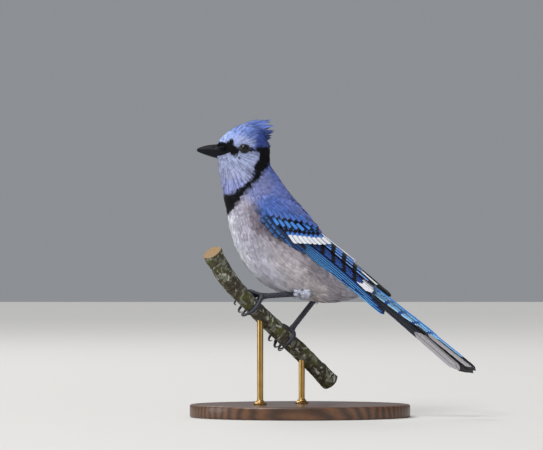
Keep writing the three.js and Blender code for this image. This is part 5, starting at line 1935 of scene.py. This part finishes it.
@dataclass
class Leg:
    """One bare leg: the scaled shank, three toes over the branch and one behind, and their claws."""

    side: int
    perch: Perch
    heel: Place
    ankle: Place
    perch_at: float
    plates: int = 13
    toes: tuple[tuple[int, float, float, float], ...] = (
        (-1, -6.5, 128, 1.5), (-1, -0.5, 154, 1.6), (-1, 5.5, 132, 1.45), (1, 1.5, 116, 1.8),
    )
    skin: ShellFinish = ShellFinish(
        "scaled_leg_skin", colour="#14151b", second="#3e404e", grain_mm=0.9, roughness=0.5, raise_mm=0.08
    )
    horn: ShellFinish = ShellFinish(
        "claw_horn", colour="#17181d", second="#34363f", grain_mm=1.6, roughness=0.28, coat=0.2, raise_mm=0.03
    )

    def shank(self) -> Object:
        """The shank, with broad overlapping plates down its front and a thin keel behind."""
        start, end = np.array(self.heel), np.array(self.ankle)
        along = unit(end - start)
        rings = 84
        t = np.linspace(0, 1, rings)
        centres = (start - along * 2.4)[None] + (end - start + along * 3.0)[None] * t[:, None]
        step = (t * self.plates) % 1
        ridge = 0.3 * np.exp(-((step - 0.86) ** 2) / 0.01)
        ends = 0.7 * np.maximum(0, 1 - t * 6) + 0.6 * np.maximum(0, t * 6 - 5)
        radius = 1.85 + ends
        grid = ringed(centres, np.stack([radius * 0.82, radius * 1.1], axis=1), 24)
        middle = centres[:, None]
        out = grid - middle
        front = unit(np.cross(along, np.array([0, 1.0, 0]) - along * along[1]))
        facing = np.clip(unit(out) @ front, 0, 1)
        grid = middle + out * (1 + facing[..., None] * ridge[:, None, None] / radius[:, None, None])
        made = drawn_out(f"shank_{SIDE_NAMES[self.side]}", grid, levels=0)
        self.skin.put_on(made)
        return made

    def foot(self) -> tuple[Object, Object]:
        """Toes and claws that wrap the branch, as one piece of skin and one of horn."""
        centre, along, up0, _ = self.perch.frame(self.perch_at)
        arm = np.array(self.ankle) - centre
        rise = arm - along * (arm @ along)
        up = unit(rise)
        across = np.cross(along, up)
        bark = self.perch.radius(self.perch_at) + self.perch.lump + 0.2
        stand = float(np.linalg.norm(rise))
        middle = centre + along * (arm @ along)

        def at(degrees: Array, radius: Array, drift: Array) -> Array:
            """Places round the branch from its top, a distance along it."""
            turn = np.radians(degrees)[:, None]
            out = up * np.cos(turn) + across * np.sin(turn)
            return middle + out * radius[:, None] + along * drift[:, None]

        toes, claws = [], []
        for i, (side, drift, reach, thick) in enumerate(self.toes):
            t = np.linspace(0, 1, 46)
            joints = 3 if i != 3 else 2
            # Knuckles at the joints, small scutes along the toe, and a tip drawn in.
            knuckle = 0.2 * np.abs(np.cos(np.pi * t * joints)) ** 3
            scute = 0.035 * np.sign(np.sin(t * 22 * np.pi)) * (t > 0.06)
            body = thick * 1.12 * (1 - 0.24 * t) * (0.9 + knuckle + scute)
            body[-3:] *= (0.96, 0.84, 0.55)
            settled = smooth_step(0, 0.34, t)
            radius = stand + (bark + thick * 0.92 - stand) * settled
            path = at(side * reach * t, radius, drift * smooth_step(0, 0.5, t))
            rings = ringed(path, np.stack([body, body * 0.94], axis=1), 16, along)
            toes.append(drawn_out(f"toe_{i}", rings, levels=0))
            c = np.linspace(0, 1, 22)
            arch = bark + 1.1 + 2.6 * np.sin(np.pi * c * 0.92) - 0.9 * c
            hook = at(side * (reach - 6 + 66 * c), arch, np.full(len(c), drift))
            size = np.maximum(1.4 * (1 - c) ** 0.75 + 0.1, 0.12)
            rings = ringed(hook, np.stack([size * 0.72, size], axis=1), 12, along)
            claws.append(drawn_out(f"claw_{i}", rings, levels=0))
        ball = self.pad(middle + up * stand)
        skin = joined(f"toes_{SIDE_NAMES[self.side]}", *toes, ball)
        self.skin.put_on(skin)
        horn = joined(f"claws_{SIDE_NAMES[self.side]}", *claws)
        self.horn.put_on(horn)
        return skin, horn

    @staticmethod
    def pad(centre: Array) -> Object:
        """The knuckle where the toes meet the shank."""
        add, place = bpy.ops.mesh.primitive_ico_sphere_add, Vector(centre) * MM
        return settle(added("pad", add, subdivisions=3, radius=2.25 * MM, location=place), 180)

    def build(self) -> tuple[Object, Object, Object]:
        """Builds shank, toes and claws."""
        return (self.shank(), *self.foot())


@dataclass
class Stand:
    """The plain oval base of varnished hardwood and the two brass rods that hold the branch."""

    half_length: float = 86.0
    half_width: float = 55.0
    thickness: float = 10.0
    edge: float = 1.6
    groove: Line = ((4.2, 0.0), (0.35, -0.45), (0.7, 0.0), (0.35, 0.45))
    rods: tuple[tuple[str, float, float], ...] = (("front", -31.0, -8.0), ("rear", 1.5, 14.0))
    rod_radius: float = 2.4
    brass: BrassFinish = BrassFinish("brushed_brass")

    def base(self) -> Object:
        """The base: a turned oval with rounded edges and a shallow groove near its rim."""
        base = added(
            "stand_oval_base", bpy.ops.mesh.primitive_cylinder_add, vertices=128, radius=1.0,
            depth=self.thickness * MM, location=(0, 0, self.thickness / 2 * MM),
        )
        base.scale = (self.half_length * MM, self.half_width * MM, 1)
        bpy.ops.object.transform_apply(location=True, rotation=True, scale=True)
        with editing(base):
            bpy.ops.mesh.bevel(offset=self.edge * MM, segments=4, affect="EDGES")
        self.choose_top(base)
        with editing(base, whole=False):
            for inset, drop in self.groove:
                bpy.ops.mesh.inset(thickness=inset * MM, depth=drop * MM)
        WoodFinish("varnished_walnut").put_on(base)
        return settle(base, 30)

    def choose_top(self, base: Object) -> None:
        """Selects only the base's flat top face."""
        for part in (base.data.vertices, base.data.edges, base.data.polygons):
            part.foreach_set("select", np.zeros(len(part), bool))
        for face in base.data.polygons:
            face.select = face.normal.z > 0.99 and face.center.z > (self.thickness - 0.1) * MM

    def rod(self, name: str, x: float, y: float, top: float) -> Object:
        """A rod with a turned collar, spun round from its profile.

        Args:
            name: which rod.
            x: its place, in millimetres.
            y: its place, in millimetres.
            top: the height where it ends inside the branch.

        Returns:
            The rod.
        """
        low, r = self.thickness - 0.2, self.rod_radius
        profile = [
            (0.4, low), (5.0, low), (5.2, low + 0.3), (5.2, low + 1.4), (4.7, low + 1.8), (3.8, low + 2.1),
            (3.4, low + 2.6), (3.3, low + 3.1), (2.7, low + 3.5), (r, low + 4.0), (r, low + 6), (r, top - 1),
            (r * 0.9, top), (0.4, top),
        ]
        rings = np.array([[(x + q * math.cos(a), y + q * math.sin(a), z) for a in turns(40)] for q, z in profile])
        made = drawn_out(f"stand_{name}_rod", rings, levels=0)
        self.brass.put_on(made)
        return settle(made, 40)

    def build(self, perch: Perch) -> list[Object]:
        """Builds the base, and both rods up into the branch."""
        line = np.array([perch.centre(t) for t in np.linspace(0, 1, 200)])
        made = [self.base()]
        for name, x, y in self.rods:
            nearest = line[np.argmin(np.hypot(line[:, 0] - x, line[:, 1] - y))]
            made.append(self.rod(name, x, y, float(nearest[2]) - 3.5))
        return made


class Lamp(Enum):
    """The studio's soft lamps: place in metres, size in metres and power in watts."""

    KEY = ((-1.6, -2.0, 2.3), 0.9, 30.0)
    FILL = ((1.6, -1.8, 0.8), 1.8, 6.0)
    RIM = ((-0.6, 1.5, 1.6), 1.0, 10.0)
    CATCH = ((-1.25, -2.2, 1.75), 0.3, 6.0)
    LOW = ((-1.7, -0.5, 0.3), 0.8, 7.0)


@dataclass
class Studio:
    """Pale seamless paper, soft lamps and the camera at the photograph's angle."""

    frame_width: float = 423.5
    lens: float = 250.0
    sensor: float = 36.0
    centre: Point = (-22.2, 149.8)
    lamps: type[Lamp] = Lamp

    def paper(self) -> Object:
        """The wide flat sheet under the stand."""
        paper = added("floor_paper", bpy.ops.mesh.primitive_plane_add, size=2.0, location=(0, 0, 0))
        paper.scale = (4.0, 4.4, 1)
        bpy.ops.object.transform_apply(location=True, rotation=True, scale=True)
        PaperFinish("seamless_paper").put_on(paper)
        return paper

    def light(self) -> None:
        """Sets the lamps round the bird, a wide soft light from above and a pale even sky."""
        bpy.ops.object.light_add(type="SUN", location=(-0.5, -0.8, 3), rotation=(0.42, -0.3, 0))
        above = bpy.context.object
        above.name = "light_from_above"
        above.data.energy = 1.5
        above.data.angle = 0.6
        for lamp in self.lamps:
            place, size, power = lamp.value
            aim = Vector((0, 0, 0.14)) - Vector(place)
            turn = aim.to_track_quat("-Z", "Y").to_euler()
            bpy.ops.object.light_add(type="AREA", location=place, rotation=turn)
            light = bpy.context.object
            light.name = "lamp_" + lamp.name.lower()
            light.data.size = size
            light.data.energy = power
        world = bpy.data.worlds.new("pale_sky")
        world.use_nodes = True
        sky = world.node_tree.nodes["Background"].inputs
        sky["Color"].default_value, sky["Strength"].default_value = linear("#dfe3ea"), 0.36
        bpy.context.scene.world = world
        bpy.context.scene.view_settings.view_transform = "Standard"

    def camera(self) -> Object:
        """A long lens, level, looking square at the bird's left side."""
        distance = self.frame_width / self.sensor * self.lens * MM
        place = (self.centre[0] * MM, -distance, self.centre[1] * MM)
        bpy.ops.object.camera_add(location=place, rotation=(math.pi / 2, 0, 0))
        camera = bpy.context.object
        camera.data.lens = self.lens
        camera.data.sensor_width = self.sensor
        camera.data.clip_end = 50
        bpy.context.scene.camera = camera
        return camera


# Each leg's heel and ankle in millimetres, and where along the branch it stands.
LEGS = {LEFT: ((1, -9.5, 96.5), (-29.6, -15, 94.6), 0.365), RIGHT: ((13.8, 9.5, 94.4), (-7.2, 7.6, 67.6), 0.612)}


def stands_for(piece: Object, slot: str, *nodes: str) -> None:
    """Lets a piece ride on the still body and stand for solids, which it hides."""
    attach(piece, "root")
    if nodes:
        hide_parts(*nodes)


def main() -> None:
    """Builds the model piece by piece, then the studio."""
    logging.basicConfig(level=logging.INFO, format="%(message)s")
    studio = Studio()
    studio.camera()
    studio.light()
    studio.paper()

    plumage = Plumage()
    skin = Skin().build()
    # The skin takes the markings darkened to 0.55: painted shade in the gaps between the feathers.
    add_colour(skin, "Markings", plumage.colour(points_of(skin) / MM) * 0.55)
    coat_finish = CoatFinish("loose_feather_barbs")
    coat_finish.put_on(skin)
    stands_for(skin, "plumage_grey", *FLESH)
    coat = Coat(skin, plumage, coat_finish)
    for piece in coat.grow():
        stands_for(piece, "plumage_grey")
    crest = Crest(coat).build()
    stands_for(crest, "plumage_blue", "crest")
    stands_for(Bristles(coat).build(), "plumage_grey")
    for side, (heel, ankle, _) in LEGS.items():
        stands_for(HeelTuft(coat, side, heel, ankle).build(), "plumage_grey")

    for side, plan in WINGS.items():
        for piece in Wing(plan).build():
            stands_for(piece, "plumage_blue", f"wing_{SIDE_NAMES[side]}")
    for piece in Tail().build():
        stands_for(piece, "plumage_blue", "tail")

    for side in (LEFT, RIGHT):
        ball, lids = Eye(side).build()
        stands_for(ball, "eye", f"eye_{SIDE_NAMES[side]}")
        stands_for(lids, "leg_skin")
    upper, lower = Bill().build()
    stands_for(upper, "horn", "bill_upper")
    stands_for(lower, "horn", "bill_lower")

    perch = Perch()
    stands_for(perch.build(), "bark", "perch_branch")
    for side, (heel, ankle, perch_at) in LEGS.items():
        name = SIDE_NAMES[side]
        shank, toes, claws = Leg(side, perch, heel, ankle, perch_at).build()
        stands_for(shank, "leg_skin", f"tarsus_{name}")
        stands_for(toes, "leg_skin", f"foot_{name}")
        stands_for(claws, "horn", f"foot_{name}")

    base, front, rear = Stand().build(perch)
    stands_for(base, "base_wood", "stand_base")
    stands_for(front, "rod_brass", "stand_rod_front")
    stands_for(rear, "rod_brass", "stand_rod_rear")


if __name__ == "__main__":
    main()
